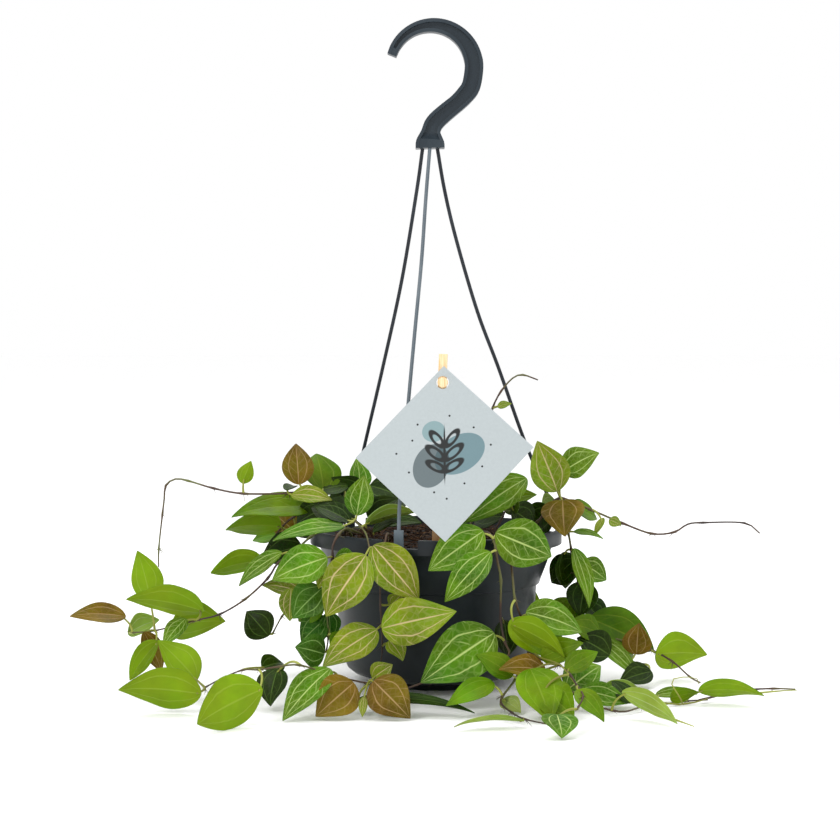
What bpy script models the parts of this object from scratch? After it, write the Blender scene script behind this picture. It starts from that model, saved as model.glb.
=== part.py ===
# A trailing dischidia in a plastic hanging pot, with its hanger and its plant label.
# Lengths are in millimetres. The origin is the middle of the foot's underside, +Z is up,
# and the front of the pot faces -Y.

import math
import random

import bmesh
import bpy
from mathutils import Matrix, Vector

MM = 0.001
GAP = 0.3  # clearance between pieces that touch
BOOLEAN_WELD = 0.0005

# The pot, turned from its radius and height at each corner
RIM_RADIUS = 75.6
RIM_INSIDE = 72.8
RIM_TOP = 93.0
LIP_BOTTOM = 84.5
FOOT_RADIUS = 33.0
POT_STEPS = 24
POT_INSIDE = [(0, 6.4), (44, 7.2), (50.8, 9.6), (53.2, 13.4), (56.9, 34), (59, 59), (61, 61.8),
              (65.2, 73), (67.3, 80), (69, LIP_BOTTOM), (RIM_INSIDE, 87.4)]
POT_OUTSIDE = [(RIM_INSIDE, RIM_TOP), (75.1, RIM_TOP), (RIM_RADIUS, 92.5), (RIM_RADIUS, LIP_BOTTOM),
               (70.6, LIP_BOTTOM), (69, 80), (66.9, 73), (62.9, 62.6), (62.3, 60.6), (60.6, 60),
               (58.5, 34), (55.2, 14), (53.4, 10), (50, 7.2), (45, 5.4), (FOOT_RADIUS, 4),
               (FOOT_RADIUS, 0), (0, 0)]
NOTCH_WIDTH = 21.0
NOTCH_DEPTH = 4.8
NOTCH_FRONT = -80
NOTCH_BACK = -66
DRAIN_HOLES = 6
DRAIN_RADIUS = 3.0
DRAIN_CIRCLE = 42.0
DRAIN_HEIGHTS = (2, 10)
DRAIN_SIDES = 8

# The soil, from the middle of its top to the middle of its underside
SOIL_OUTLINE = [(0, 88.6), (18, 87.6), (36, 88), (54, 87.4), (65, 86.4), (68.2, 84.4), (66.9, 80), (64.7, 73),
                (60.3, 61.9), (58.3, 58.8), (56.3, 34), (52.4, 13.6), (50, 10), (43.6, 7.7), (0, 6.9)]
SOIL_STEPS = 24
SOIL_BUMP = 0.8
SOIL_TOP = 86.0  # bumps start above this height
ROOT_BOTTOM = 79.0  # a stem reaches this far down into its hole
HOLE_MARGIN = 0.5
HOLE_TOP = 92.0

# The hook: an I section drawn along its middle line, from the tip over the top to the foot
HOOK_CENTRE = (-2.45, 367.7)
HOOK_RADIUS = 25.0
HOOK_ARC = [(163, 5.6), (150, 6.0), (135, 6.4), (120, 6.8), (105, 7.4), (90, 8.0), (75, 8.6), (60, 9.2),
            (45, 9.8), (30, 10.4), (15, 10.8), (0, 11.0)]  # angle and width
HOOK_TAIL = [(20.8, 357, 11.2), (16.9, 351.3, 10.8), (12.4, 346.8, 10.3), (8.2, 343.4, 10.4),
(4.1, 340, 10.6),
             (0.4, 336.6, 10.8), (-1.9, 333.5, 11), (-3, 330, 11.4), (-3.6, 324, 16.6), (-3.6, 320, 17.3)]
HOOK_HALF_DEPTH = 4.0
HOOK_FLANGE = 2.1
HOOK_WEB = 1.3
HOOK_SOLID = 0.98  # the web's share of the depth where the hook is solid
HOOK_FOOT_HALF_DEPTH = 6.5

# The straps: each falls from the hook's foot to a clip over the rim, at an angle from the front
STRAP_RADIUS = 1.15
STRAP_STEP = 26.0
STRAP_RESOLUTION = 1
CLIP_WIDTH = 5.6
CLIP_THICK = 2.0
CLIP_TOP = 99.0
CLIP_REACH = 6.4  # the clip's toe under the lip
CLIP_TOE = 1.9
CLIP_LAP = 0.5  # how far inside the clip's outer face the toe begins
CLIP_DROP = 3.0  # the strap's last stretch, inside the clip
STRAPS = {
    "strap_front": (-16.3, [(-3.7, -4.4, 319.2), (-6.2, -14.4, 289), (-8.7, -26.5, 252.5),
    (-12.5, -39.9, 212),
                            (-15.8, -51.9, 176), (-19.6, -66, 132.6), (-21.2, -72, 113)]),
    "strap_left": (-136.3, [(-8, 2.3, 319.2), (-11.8, 8.5, 294), (-20.9, 21.1, 241), (-32.7, 33.8, 188),
                            (-44.1, 45.4, 140), (-51, 52.8, 110)]),
    "strap_right": (103.7, [(0.7, 1.4, 319.2), (5.2, 3.3, 295), (12.2, 5.4, 266), (25, 8.5, 223),
                            (37.9, 11.1, 189), (53.4, 14.2, 146), (66, 16.6, 116)]),
}

# The label: a square card hung on its corner from the peg of a flat wooden stick
STICK_WIDTH = 5.0
STICK_THICK = 2.4
STICK_TOP = (3.7, -60, 198.4)
STICK_BOTTOM = (-1.0, -60, 70)
PEG_RADIUS = 3.1
PEG_PLACE = (3.3, 182.3)
PEG_LENGTH = 7.2
PEG_SIDES = 16
CARD_THICK = 0.6
CARD_CORNERS = [(3.9, -63.5, 191.6), (-46, -74, 140), (4.5, -88, 93.9), (54.5, -74, 146)]
CARD_STEPS = 3
CARD_CUT = (-73.5, -58.5)  # the ends of the card's hole cutter

# Leafy stems
STEM_RADIUS = 0.85
STEM_STEP = 16.0  # length of a stem's straight pieces
STALK_RADIUS = 0.65
STALK_SINK = 2.5  # a stalk's end along the blade, and beside the midrib
STALK_ASIDE = 0.1
STALK_PAST = 0.37  # a stalk's start past the stem's middle
BLADE = 0.7  # thickness of a leaf
SMALL_LEAF = 20.0
LARGE_LEAF = 38.0
FOLD = 0.24  # rise of the margins over the midrib, per half width
BOW = 0.05  # rise of the middle of a leaf, per length
FRONT = (0, -1, 0)
BEHIND = (0, 1, 0)

# Each stem has its root's place in the soil, its runs, and its leaves.
# A leaf is its base, its tip, its width and its turn. At a turn of 90 its upper face looks to the
# front, at 0 it lies flat, and below 0 its underside shows.
STEMS = {
    "stem_young_left": ((-54, -14), [
        [(-59, -22, 101), (-69, -24, 112), (-78, -26, 117), (-87, -27, 116), (-113, -30, 116),
         (-131, -28, 119),
         (-146, -24, 123), (-154, -22, 124), (-160, -20, 120), (-161, -20, 112), (-162, -21, 103),
         (-164, -23, 83), (-164, -24, 72)],
    ], [
        ((-81, -26, 121), (-83, -20, 145), 19, 80), ((-85, -30, 115), (-61, -34, 113), 15, 35),
        ((-67, -14, 116), (-72, 2, 138), 24, 62), ((-53, -8, 119), (-74, -16, 115), 17, 35),
        ((-88, -30, 118), (-84, -10, 119), 8, 20), ((-114, -29, 122), (-109, -26, 135), 10, -75),
    ]),
    "stem_left_fan": ((-54, 8), [
        [(-60, 8, 100), (-69, 6, 106), (-77, 4, 104), (-86, 2, 99), (-93, 0, 93), (-100, -2, 83),
         (-105, -4, 73)],
    ], [
        ((-75, -4, 106), (-120, -30, 104), 21, 42), ((-93, -4, 94), (-125, -22, 95), 24, -50),
        ((-104, -8, 74), (-134, -24, 69), 19, -50), ((-81, 0, 82), (-105, -4, 75), 22, 75),
        ((-85, 8, 89), (-100, 12, 101), 20, 60),
    ]),
    "stem_crown_left": ((-37, -42), [
        [(-41, -46, 97), (-47, -50, 102), (-43, -60, 99), (-40, -70, 96), (-38, -78, 89)],
    ], [
        ((-46, -50, 105), (-42, -46, 128), 17, 80), ((-41, -56, 101), (-12, -49, 108), 18, -32),
        ((-50, -48, 101), (-71, -40, 110), 16, 35), ((-53, -54, 99), (-94, -62, 93), 15, 30),
        ((-40, -83, 86), (-63, -81, 51), 28, 82), ((-36, -80, 91), (-10, -79, 60), 25, 82),
        ((-37, -43, 95), (-21, -46, 102), 11, 25),
    ]),
    "stem_crown_back": ((-36, 0), [
        [(-38, 0, 98), (-41, 2, 106), (-46, 4, 113)],
    ], [
        ((-46, 4, 115), (-48, 10, 134), 15, 60), ((-40, 2, 118), (-19, -12, 112), 20, 55),
        ((-32, -14, 96), (-9, -26, 99), 14, 25),
    ]),
    "stem_left_runner": ((-50, -30), [
        [(-55, -36, 96), (-63, -40, 97), (-73, -42, 92), (-83, -44, 83), (-92, -46, 77), (-98, -46, 68),
         (-111, -46, 56), (-126, -45, 47), (-140, -42, 43), (-165, -36, 36), (-179, -30, 34)],
    ], [
        ((-90, -38, 82), (-117, -30, 62), 14, 40), ((-135, -46, 49), (-179, -52, 58), 24, -52),
        ((-156, -30, 38), (-127, -8, 38), 26, -70), ((-169, -24, 52), (-177, -18, 81), 20, -80),
        ((-183, -28, 43), (-215, -34, 45), 16, 38), ((-183, -20, 32), (-166, -10, 39), 18, -45),
        ((-171, -40, 36), (-161, -34, 11), 13, 60), ((-162, -44, 31), (-177, -60, 11), 15, -50),
    ]),
    "stem_front_left": ((-42, -46), [
        [(-48, -57, 97), (-52, -64, 99), (-56, -71, 96), (-59, -75, 90), (-59, -75, 84), (-61, -71, 76),
         (-62, -68, 67), (-63, -67, 58), (-62, -66, 38), (-63, -68, 29)],
        [(-62, -67, 64), (-73, -46, 57), (-86, -20, 48), (-92, -12, 41), (-98, -8, 30)],
    ], [
        ((-62, -77, 84), (-93, -81, 72), 24, 65), ((-58, -71, 82), (-45, -67, 80), 14, 70),
        ((-83, -66, 65), (-84, -66, 46), 13, 80), ((-65, -72, 66), (-82, -74, 49), 22, 70),
        ((-63, -62, 47), (-78, -60, 33), 20, 60), ((-64, -70, 28), (-80, -76, 33), 20, 70),
        ((-62, -62, 51), (-61, -60, 34), 13, 70), ((-63, -73, 74), (-67, -75, 66), 8, 60),
        ((-100, -11, 29), (-114, -4, 43), 20, 80), ((-80, -36, 59), (-102, -34, 63), 14, 40),
    ]),
    "stem_front_centre": ((-25, -55), [
        [(-28, -66, 96), (-29, -76, 94), (-31, -79, 80), (-32, -76, 68), (-32, -75, 57), (-31, -73, 33),
         (-32, -74, 23)],
    ], [
        ((-34, -78, 43), (-64, -92, 25), 22, 62), ((-31, -80, 44), (10, -96, 56), 27, 72),
        ((-26, -70, 55), (-20, -68, 62), 10, 60), ((-27, -74, 36), (-19, -80, 26), 13, 50),
    ]),
    "stem_crown_right": ((34, -28), [
        [(38, -27, 100), (44, -26, 112), (50, -27, 121)],
    ], [
        ((53, -30, 125), (15, -40, 100), 22, 60),
    ]),
    "stem_front_runner": ((20, -50), [
        [(25, -58, 96), (29, -68, 97), (32, -76, 94), (33, -80, 88), (34, -80, 82), (36, -78, 71),
         (36, -76, 49),
         (38, -82, 37), (40, -91, 31), (28, -92, 26), (14, -92, 22), (-1, -92, 18), (-21, -94, 12),
         (-38, -98, 16),
         (-55, -104, 21), (-75, -114, 29), (-86, -124, 30), (-97, -122, 28), (-107, -112, 26),
         (-119, -104, 20),
         (-129, -99, 14)],
    ], [
        ((26, -78, 99), (-5, -81, 77), 24, 80), ((33, -77, 98), (66, -65, 83), 28, 82),
        ((30, -86, 88), (4, -86, 60), 19, 65), ((32, -83, 42), (-9, -99, 17), 32, 75),
        ((38, -68, 47), (40, -71, 26), 18, 60),
        ((-59, -108, 26), (-84, -128, 2), 20, 55), ((-46, -112, 19), (-66, -124, 3), 24, 80),
        ((-35, -112, 20), (-15, -124, 2), 24, 78), ((-36, -92, 18), (-25, -94, 26), 13, 75),
        ((-40, -120, 13), (-41, -122, 2), 5, 80), ((-94, -136, 20), (-127, -165, 7), 29, -78),
        ((-89, -90, 23), (-93, -100, 4), 20, 60), ((-130, -107, 12), (-175, -111, 16), 25, -78),
        ((-134, -94, 17), (-157, -78, 37), 21, -80), ((-98, -88, 23), (-87, -70, 23), 14, 40),
        ((-46, -100, 7), (20, -118, 6), 10, 25),
    ]),
    "stem_right_runner": ((33, -52), [
        [(36, -59, 96), (39, -65, 96), (41, -69, 91), (42, -69, 82), (43, -75, 70), (44, -79, 60),
         (48, -76, 49),
         (50, -74, 45),
         (52, -76, 37), (55, -80, 26), (62, -88, 19), (70, -92, 14), (78, -96, 9), (85, -100, 5),
         (96, -108, 3),
         (104, -106, 2), (115, -96, 3), (126, -86, 2), (141, -76, 2), (154, -72, 2)],
        [(50, -75, 41), (50, -80, 33), (58, -92, 29), (67, -106, 28), (72, -120, 25), (75, -134, 21),
         (77, -147, 18), (73, -156, 13)],
        [(53, -77, 33), (44, -92, 18), (36, -104, 10), (35, -116, 8), (40, -130, 6), (46, -142, 5),
         (57, -150, 4)],
        [(149, -73, 2), (166, -64, 4), (181, -62, 6), (193, -64, 7), (205, -66, 7)],
    ], [
        ((50, -80, 53), (83, -70, 41), 24, 45), ((41, -82, 49), (64, -88, 29), 18, 70),
        ((41, -96, 49), (71, -106, 33), 22, -50),
        ((60, -102, 24), (34, -106, 26), 18, 40), ((51, -109, 26), (61, -133, 2), 26, 70),
        ((56, -120, 17), (74, -126, 3), 22, 60), ((72, -92, 11), (92, -84, 24), 22, 70),
        ((62, -161, 11), (64, -175, 2), 20, 70), ((80, -96, 12), (107, -96, 5), 14, 60),
        ((101, -113, 14), (129, -141, 3), 14, -60), ((92, -84, 10), (117, -84, 8), 14, -50),
        ((148, -76, 8), (184, -84, 8), 15, -55), ((124, -74, 5), (150, -62, 4), 8, 40),
        ((31, -100, 17), (5, -122, 9), 14, 50), ((36, -99, 7), (46, -107, 2), 12, 45),
        ((46, -143, 4), (8, -151, 4), 8, -30),
    ]),
    "stem_right_young": ((52, -10), [
        [(60, -11, 97), (68, -12, 107), (74, -12, 112), (92, -13, 105), (111, -14, 97), (128, -16, 91),
         (141, -18, 92), (149, -20, 97), (158, -21, 98), (182, -23, 98), (191, -24, 92)],
    ], [
        ((72, -14, 116), (60, -16, 146), 24, 80), ((76, -5, 127), (97, -9, 139), 20, 60),
        ((75, -17, 111), (75, -36, 92), 26, 82), ((72, 2, 109), (64, 6, 104), 14, 60),
        ((100, -14, 100), (94, -16, 90), 5, 50), ((103, -14, 99), (110, -16, 96), 7, 70),
    ]),
    "stem_right_fall": ((58, 8), [
        [(68, 4, 95), (76, -4, 97), (79, -8, 91), (81, -9, 80), (84, -6, 66), (88, -2, 49), (90, 0, 38),
         (99, 0, 26),
         (107, -2, 20), (117, -4, 13), (126, -6, 11)],
        [(93, 0, 33), (103, 1, 27), (114, 0, 24), (130, -2, 19), (142, -8, 13), (150, -26, 7), (155, -34, 5)],
    ], [
        ((82, -14, 82), (92, -17, 47), 13, 60), ((77, 2, 78), (79, 6, 55), 18, 60),
        ((88, 3, 71), (104, 9, 60), 16, 55), ((90, -4, 61), (86, -8, 40), 20, 70),
        ((84, 14, 48), (76, 24, 30), 20, 70), ((93, 2, 38), (134, 10, 17), 28, 72),
        ((120, -12, 18), (121, -14, 37), 18, 75), ((132, -6, 17), (164, 4, 16), 26, -72),
        ((95, -8, 28), (122, -26, 5), 12, 55), ((103, -20, 19), (84, -16, 29), 22, 60),
        ((128, -20, 9), (108, -30, 5), 16, 50), ((82, -14, 92), (99, -20, 89), 7, 30),
    ]),
    "stem_curl": ((20, -8), [
        [(24, -4, 106), (29, 0, 128), (32, 0, 154), (34, 0, 165), (39, 0, 175), (46, -1, 183), (52, -2, 185),
         (61, -3, 182)],
    ], [
        ((37, -1, 166), (45, -5, 168), 5, 60), ((27, -1, 128), (18, -12, 114), 16, 60),
    ]),
}

# The stems behind the pot trail as those in front do, tangled in one. Each has its angle from the back,
# towards +X, and the reach of its end along the floor.
BACK_STEMS = [(-25, 138), (2, 152), (30, 140)]
BACK_SEED = 11
BACK_ROOT = 50.0
BACK_PATH = [(62, 96), (72, 99), (80, 95), (84, 84), (85, 60), (88, 36), (96, 16), (108, 5)]  # radius, height
BACK_LEAVES = [(75, 102), (87, 78), (91, 46), (111, 10)]  # radius, height of the pairs
BACK_LEAF_LENGTH = (22, 30)
BACK_LEAF_SHAPE = 0.62  # width over length

PLASTIC = (0.022, 0.030, 0.036)
LEAF_GREEN = (0.085, 0.26, 0.018)
COIR = (0.06, 0.02, 0.01)
WOOD = (0.9, 0.71, 0.45)
CARD_GREY = (0.65, 0.69, 0.7)


def material(name, colour, roughness, metallic=0.0):
    made = bpy.data.materials.new(name)
    made.use_nodes = True
    shader = made.node_tree.nodes["Principled BSDF"]
    shader.inputs["Base Color"].default_value = (*colour, 1.0)
    shader.inputs["Roughness"].default_value = roughness
    shader.inputs["Metallic"].default_value = metallic
    return made


def collection(name, parent=None):
    made = bpy.data.collections.new(name)
    (parent or bpy.context.scene.collection).children.link(made)
    return made


def metres(point):
    return Vector(point) * MM


def add(name, mesh, into):
    made = bpy.data.objects.new(name, mesh)
    into.objects.link(made)
    return made


def add_shape(name, shape, into):
    mesh = bpy.data.meshes.new(name)
    shape.to_mesh(mesh)
    shape.free()
    return add(name, mesh, into)


def turn_shared_diagonals(shape):
    """Where a sliver's diagonal lies along another face's edge, the sliver is split the other way."""
    for edge in [edge for edge in shape.edges if len(edge.link_faces) == 4]:
        ends = list(edge.verts)
        by_area = sorted(edge.link_faces, key=lambda face: face.calc_area())
        corners = [next(vert for vert in face.verts if vert not in ends) for face in by_area]
        partner = next(index for index in (1, 2, 3) if corners[index] != corners[0])
        bmesh.ops.delete(shape, geom=[by_area[0], by_area[partner]], context="FACES_ONLY")
        for end in ends:
            triangle = (corners[0], corners[partner], end)
            double = shape.faces.get(triangle)
            if double:
                shape.faces.remove(double)
            else:
                shape.faces.new(triangle)
    bmesh.ops.recalc_face_normals(shape, faces=shape.faces)


def baked(made, weld=0.01, split=False):
    """The object as it is evaluated, as one welded mesh under the same name."""
    bpy.context.view_layer.update()
    name, home = made.name, made.users_collection[0]
    evaluated = made.evaluated_get(bpy.context.evaluated_depsgraph_get())
    mesh = bpy.data.meshes.new_from_object(evaluated)
    mesh.transform(made.matrix_world)
    bpy.data.objects.remove(made)
    shape = bmesh.new()
    shape.from_mesh(mesh)
    bmesh.ops.remove_doubles(shape, verts=shape.verts, dist=weld * MM)
    if split:
        bmesh.ops.triangulate(shape, faces=shape.faces)
        turn_shared_diagonals(shape)
    shape.to_mesh(mesh)
    shape.free()
    return add(name, mesh, home)


def smooth(made, angle=35):
    made.data.shade_smooth()
    made.data.set_sharp_from_angle(angle=math.radians(angle))


def turned(name, outline, steps, into):
    """A solid turned about Z from an outline of radius and height."""
    shape = bmesh.new()
    points = [shape.verts.new(metres((radius, 0, height))) for radius, height in outline]
    for start, end in zip(points, points[1:]):
        shape.edges.new((start, end))
    made = add_shape(name, shape, into)
    screw = made.modifiers.new("turn", "SCREW")
    screw.steps = screw.render_steps = steps
    screw.use_merge_vertices = True
    screw.merge_threshold = 0.01 * MM
    return baked(made)


def cylinder(name, radius, start, end, into, sides=12):
    """A cylinder between two points."""
    start, end = Vector(start), Vector(end)
    shape = bmesh.new()
    bmesh.ops.create_cone(shape, cap_ends=True, segments=sides, radius1=radius * MM, radius2=radius * MM,
                          depth=(end - start).length * MM)
    turn = (end - start).to_track_quat("Z", "Y").to_matrix().to_4x4()
    shape.transform(Matrix.Translation(metres((start + end) / 2)) @ turn)
    return add_shape(name, shape, into)


def block(name, low, high, into):
    """A box between two opposite corners."""
    low, high = Vector(low), Vector(high)
    shape = bmesh.new()
    bmesh.ops.create_cube(shape, size=1.0)
    shape.transform(Matrix.Translation(metres((low + high) / 2)) @ Matrix.Diagonal((*metres(high - low), 1.0)))
    return add_shape(name, shape, into)


def turn_about_z(made, angle):
    """Turns a piece made at the front by an angle towards +X."""
    made.data.transform(Matrix.Rotation(math.radians(angle), 4, "Z"))


def joined(body, others, operation, into=None):
    """Applies one Boolean of a body with a list of closed pieces, which are then removed."""
    name = body.name
    group = collection(name + "_tools")
    for other in others:
        other.users_collection[0].objects.unlink(other)
        group.objects.link(other)
    boolean = body.modifiers.new(operation.lower(), "BOOLEAN")
    boolean.operation = operation
    boolean.solver = "EXACT"
    boolean.operand_type = "COLLECTION"
    boolean.collection = group
    body = baked(body, BOOLEAN_WELD, True)
    for other in others:
        bpy.data.objects.remove(other)
    bpy.data.collections.remove(group)
    if into:
        body.users_collection[0].objects.unlink(body)
        into.objects.link(body)
    body.name = name
    return body


def route_through(points, step):
    """Points about a step apart on a smooth curve through the given ones."""
    points = [Vector(point) for point in points]
    ends = [points[0] * 2 - points[1]] + points + [points[-1] * 2 - points[-2]]
    route = []
    for before, start, end, after in zip(ends, ends[1:], ends[2:], ends[3:]):
        count = max(1, round((end - start).length / step))
        for t in (index / count for index in range(count)):
            bend = (2 * before - 5 * start + 4 * end - after) * t * t
            twist = (3 * start - before - 3 * end + after) * t ** 3
            route.append((2 * start + (end - before) * t + bend + twist) / 2)
    return route + [points[-1]]


def tube(name, route, radius, into, resolution=0):
    """A round tube along a route, closed at both ends."""
    data = bpy.data.curves.new(name, "CURVE")
    data.dimensions = "3D"
    data.bevel_depth = radius * MM
    data.bevel_resolution = resolution
    data.use_fill_caps = True
    spline = data.splines.new("POLY")
    spline.points.add(len(route) - 1)
    for point, place in zip(spline.points, route):
        point.co = (*metres(place), 1.0)
    made = bpy.data.objects.new(name, data)
    into.objects.link(made)
    return baked(made)


def half_width(along):
    """The leaf's outline: round at the base, widest before the middle, drawn out at the tip."""
    return math.sin(math.pi * along ** 0.7) ** 0.85


def bow(length, along):
    return BOW * length * 4 * along * (1 - along)


def leaf_axes(leaf, towards):
    """The leaf's length and the directions of its length, its side and its upper face."""
    base, tip, _, turn = leaf
    axis = (Vector(tip) - Vector(base)).normalized()
    front = Vector(towards)
    front = (front - axis * front.dot(axis)).normalized()
    up = axis.cross(front)
    if up.z < 0:
        up = -up
    normal = front * math.sin(math.radians(turn)) + up * math.cos(math.radians(turn))
    return (Vector(tip) - Vector(base)).length, axis, normal.cross(axis), normal


def blade(name, leaf, towards, into):
    """A leaf: a grid drawn in to the outline, folded at its midrib, bowed, and given its thickness."""
    base, _, width, _ = leaf
    base = Vector(base)
    length, axis, side, normal = leaf_axes(leaf, towards)
    rows = 3 if length < SMALL_LEAF else 4 if length < LARGE_LEAF else 5
    shape = bmesh.new()
    bmesh.ops.create_grid(shape, x_segments=rows, y_segments=2, size=0.5)
    for vert in shape.verts:
        along, across = vert.co.x + 0.5, vert.co.y * 2
        inside = 0.01 < along < 0.99
        half = half_width(along) * width / 2 if inside else 0.0
        rise = FOLD * abs(across) * half + bow(length, along)
        vert.co = metres(base + axis * length * along + side * half * across + normal * rise)
    bmesh.ops.remove_doubles(shape, verts=shape.verts, dist=0.01 * MM)
    bmesh.ops.triangulate(shape, faces=shape.faces)
    sheet = add_shape(name, shape, into)
    solidify = sheet.modifiers.new("thickness", "SOLIDIFY")
    solidify.thickness = BLADE * MM
    solidify.offset = 0.0
    return baked(sheet)


def leafy_stem(name, runs, leaves, green, parts, towards=FRONT):
    """The stem's runs, with a stalk and a blade for each leaf, as one body."""
    routes = [route_through(run, STEM_STEP) for run in runs]
    scratch = collection(name + "_pieces")
    stem = tube(name, routes[0], STEM_RADIUS, scratch)
    pieces = [tube("run", route, STEM_RADIUS, scratch) for route in routes[1:]]
    for leaf in leaves:
        base = Vector(leaf[0])
        _, axis, side, normal = leaf_axes(leaf, towards)
        joint = min((point for route in routes for point in route[1:]), key=lambda point: (point - base).length)
        inner = base + axis * STALK_SINK + side * STALK_ASIDE
        outer = joint - (inner - joint).normalized() * STALK_PAST
        pieces.append(blade("leaf", leaf, towards, scratch))
        pieces.append(tube("stalk", [outer, inner], STALK_RADIUS, scratch))
    made = joined(stem, pieces, "UNION", parts)
    bpy.data.collections.remove(scratch)
    made.data.materials.append(green)
    return made


def rise(root):
    """The stretch of a stem that stands in its hole in the soil."""
    return [(*root, ROOT_BOTTOM), (*root, HOLE_TOP)]


def back_stem(angle, reach, draw):
    """Root, run and leaves of a stem that falls behind the pot and trails away along the floor."""
    out = Vector((math.sin(math.radians(angle)), math.cos(math.radians(angle)), 0))
    side = Vector((out.y, -out.x, 0))
    run = [tuple(out * radius + Vector((0, 0, height))) for radius, height in BACK_PATH]
    run.append(tuple(out * reach + Vector((0, 0, 3))))
    leaves = []
    for number, (radius, height) in enumerate(BACK_LEAVES):
        for way in (-1, 1):
            length = draw.uniform(*BACK_LEAF_LENGTH)
            fall = draw.uniform(0.1, 0.25) if number in (0, 3) else draw.uniform(-0.9, -0.5)
            aim = side * way * 0.8 + out * draw.uniform(0.2, 0.5) + Vector((0, 0, fall))
            base = out * (radius + 1) + side * way * 4 + Vector((0, 0, height))
            tip = base + aim.normalized() * length
            leaves.append((base, tip, length * BACK_LEAF_SHAPE, 65))
    return (out.x * BACK_ROOT, out.y * BACK_ROOT), run, leaves


def make_pot(plastic, parts, scratch):
    pot = turned("pot", POT_INSIDE + POT_OUTSIDE, POT_STEPS, parts)
    cutters = []
    for angle, _ in STRAPS.values():
        notch = block("notch", (-NOTCH_WIDTH / 2, NOTCH_FRONT, RIM_TOP - NOTCH_DEPTH),
                      (NOTCH_WIDTH / 2, NOTCH_BACK, RIM_TOP + NOTCH_DEPTH), scratch)
        turn_about_z(notch, angle)
        cutters.append(notch)
    for number in range(DRAIN_HOLES):
        bottom, top = ((0, -DRAIN_CIRCLE, height) for height in DRAIN_HEIGHTS)
        drain = cylinder("drain", DRAIN_RADIUS, bottom, top, scratch, DRAIN_SIDES)
        turn_about_z(drain, 360 * (number + 0.5) / DRAIN_HOLES)
        cutters.append(drain)
    pot = joined(pot, cutters, "DIFFERENCE")
    pot.data.materials.append(plastic)
    smooth(pot)


def make_soil(brown, parts, scratch, roots):
    """The soil, with uneven top and a plain hole for each stem and for the stick."""
    soil = turned("soil", SOIL_OUTLINE, SOIL_STEPS, parts)
    for vert in soil.data.vertices:
        x, y, z = vert.co / MM
        if z > SOIL_TOP:
            vert.co.z += SOIL_BUMP * MM * (math.sin(x / 5.3) * math.cos(y / 4.1) + 0.6 * math.sin(x / 2.7 + y / 3.3))
    cutters = []
    for x, y in roots:
        bottom, top = (x, y, ROOT_BOTTOM - GAP), (x, y, HOLE_TOP)
        cutters.append(cylinder("hole", STEM_RADIUS + HOLE_MARGIN, bottom, top, scratch, 8))
    low, high = Vector(STICK_BOTTOM), Vector(STICK_TOP)
    slot = flat_stick("slot", low + Vector((0, 0, -GAP)), high, STICK_WIDTH + 2 * GAP, STICK_THICK + 2 * GAP, scratch)
    soil = joined(soil, cutters + [slot], "DIFFERENCE")
    soil.data.materials.append(brown)


def i_section(width, half_depth, web):
    """The I section's twelve corners in order, as distance across and depth."""
    outer, inner = width / 2, width / 2 - HOOK_FLANGE
    right = [(inner, web), (inner, half_depth), (outer, half_depth)]
    right += [(across, -depth) for across, depth in reversed(right)]
    return right + [(-across, -depth) for across, depth in right]


def make_hook(plastic, parts):
    """The hook, lofted from I sections, with a solid tip and foot."""
    centre_x, centre_z = HOOK_CENTRE
    line = []
    for angle, width in HOOK_ARC:
        turn = math.radians(angle)
        line.append((centre_x + HOOK_RADIUS * math.cos(turn), centre_z + HOOK_RADIUS * math.sin(turn), width))
    line += HOOK_TAIL
    places = [Vector((x, 0, z)) for x, z, _ in line]
    shape = bmesh.new()
    rings = []
    for number, (place, (_, _, width)) in enumerate(zip(places, line)):
        ahead = places[min(number + 1, len(places) - 1)] - places[max(number - 1, 0)]
        across = Vector((0, 1, 0)).cross(ahead).normalized()
        foot = number >= len(line) - 2
        half_depth = HOOK_FOOT_HALF_DEPTH if foot else HOOK_HALF_DEPTH
        web = half_depth * HOOK_SOLID if foot or number < 2 else HOOK_WEB
        ring = [place + across * a + Vector((0, d, 0)) for a, d in i_section(width, half_depth, web)]
        rings.append([shape.verts.new(metres(point)) for point in ring])
    for ring, following in zip(rings, rings[1:]):
        for corner in range(len(ring)):
            shape.faces.new((ring[corner - 1], ring[corner], following[corner], following[corner - 1]))
    shape.faces.new(rings[0])
    shape.faces.new(rings[-1])
    bmesh.ops.recalc_face_normals(shape, faces=shape.faces)
    hook = add_shape("hook", shape, parts)
    hook.data.materials.append(plastic)
    smooth(hook)


def make_strap(name, angle, points, plastic, parts, scratch):
    """A round strap that ends in a flat clip, which holds the lip from outside and below."""
    inner = RIM_RADIUS + GAP
    outer = inner + CLIP_THICK
    half, toe_top = CLIP_WIDTH / 2, LIP_BOTTOM - GAP
    plate = block("plate", (-half, -outer, toe_top - CLIP_TOE), (half, -inner, CLIP_TOP), scratch)
    toe = block("toe", (-half, CLIP_LAP - outer, toe_top - CLIP_TOE), (half, CLIP_REACH - outer, toe_top), scratch)
    for piece in (plate, toe):
        turn_about_z(piece, angle)
    end = Matrix.Rotation(math.radians(angle), 3, "Z") @ Vector((0, -(inner + outer) / 2, CLIP_TOP - 1))
    route = route_through([*points, end], STRAP_STEP) + [end - Vector((0, 0, CLIP_DROP))]
    strap = tube(name, route, STRAP_RADIUS, parts, STRAP_RESOLUTION)
    strap = joined(strap, [plate, toe], "UNION")
    strap.data.materials.append(plastic)


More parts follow.
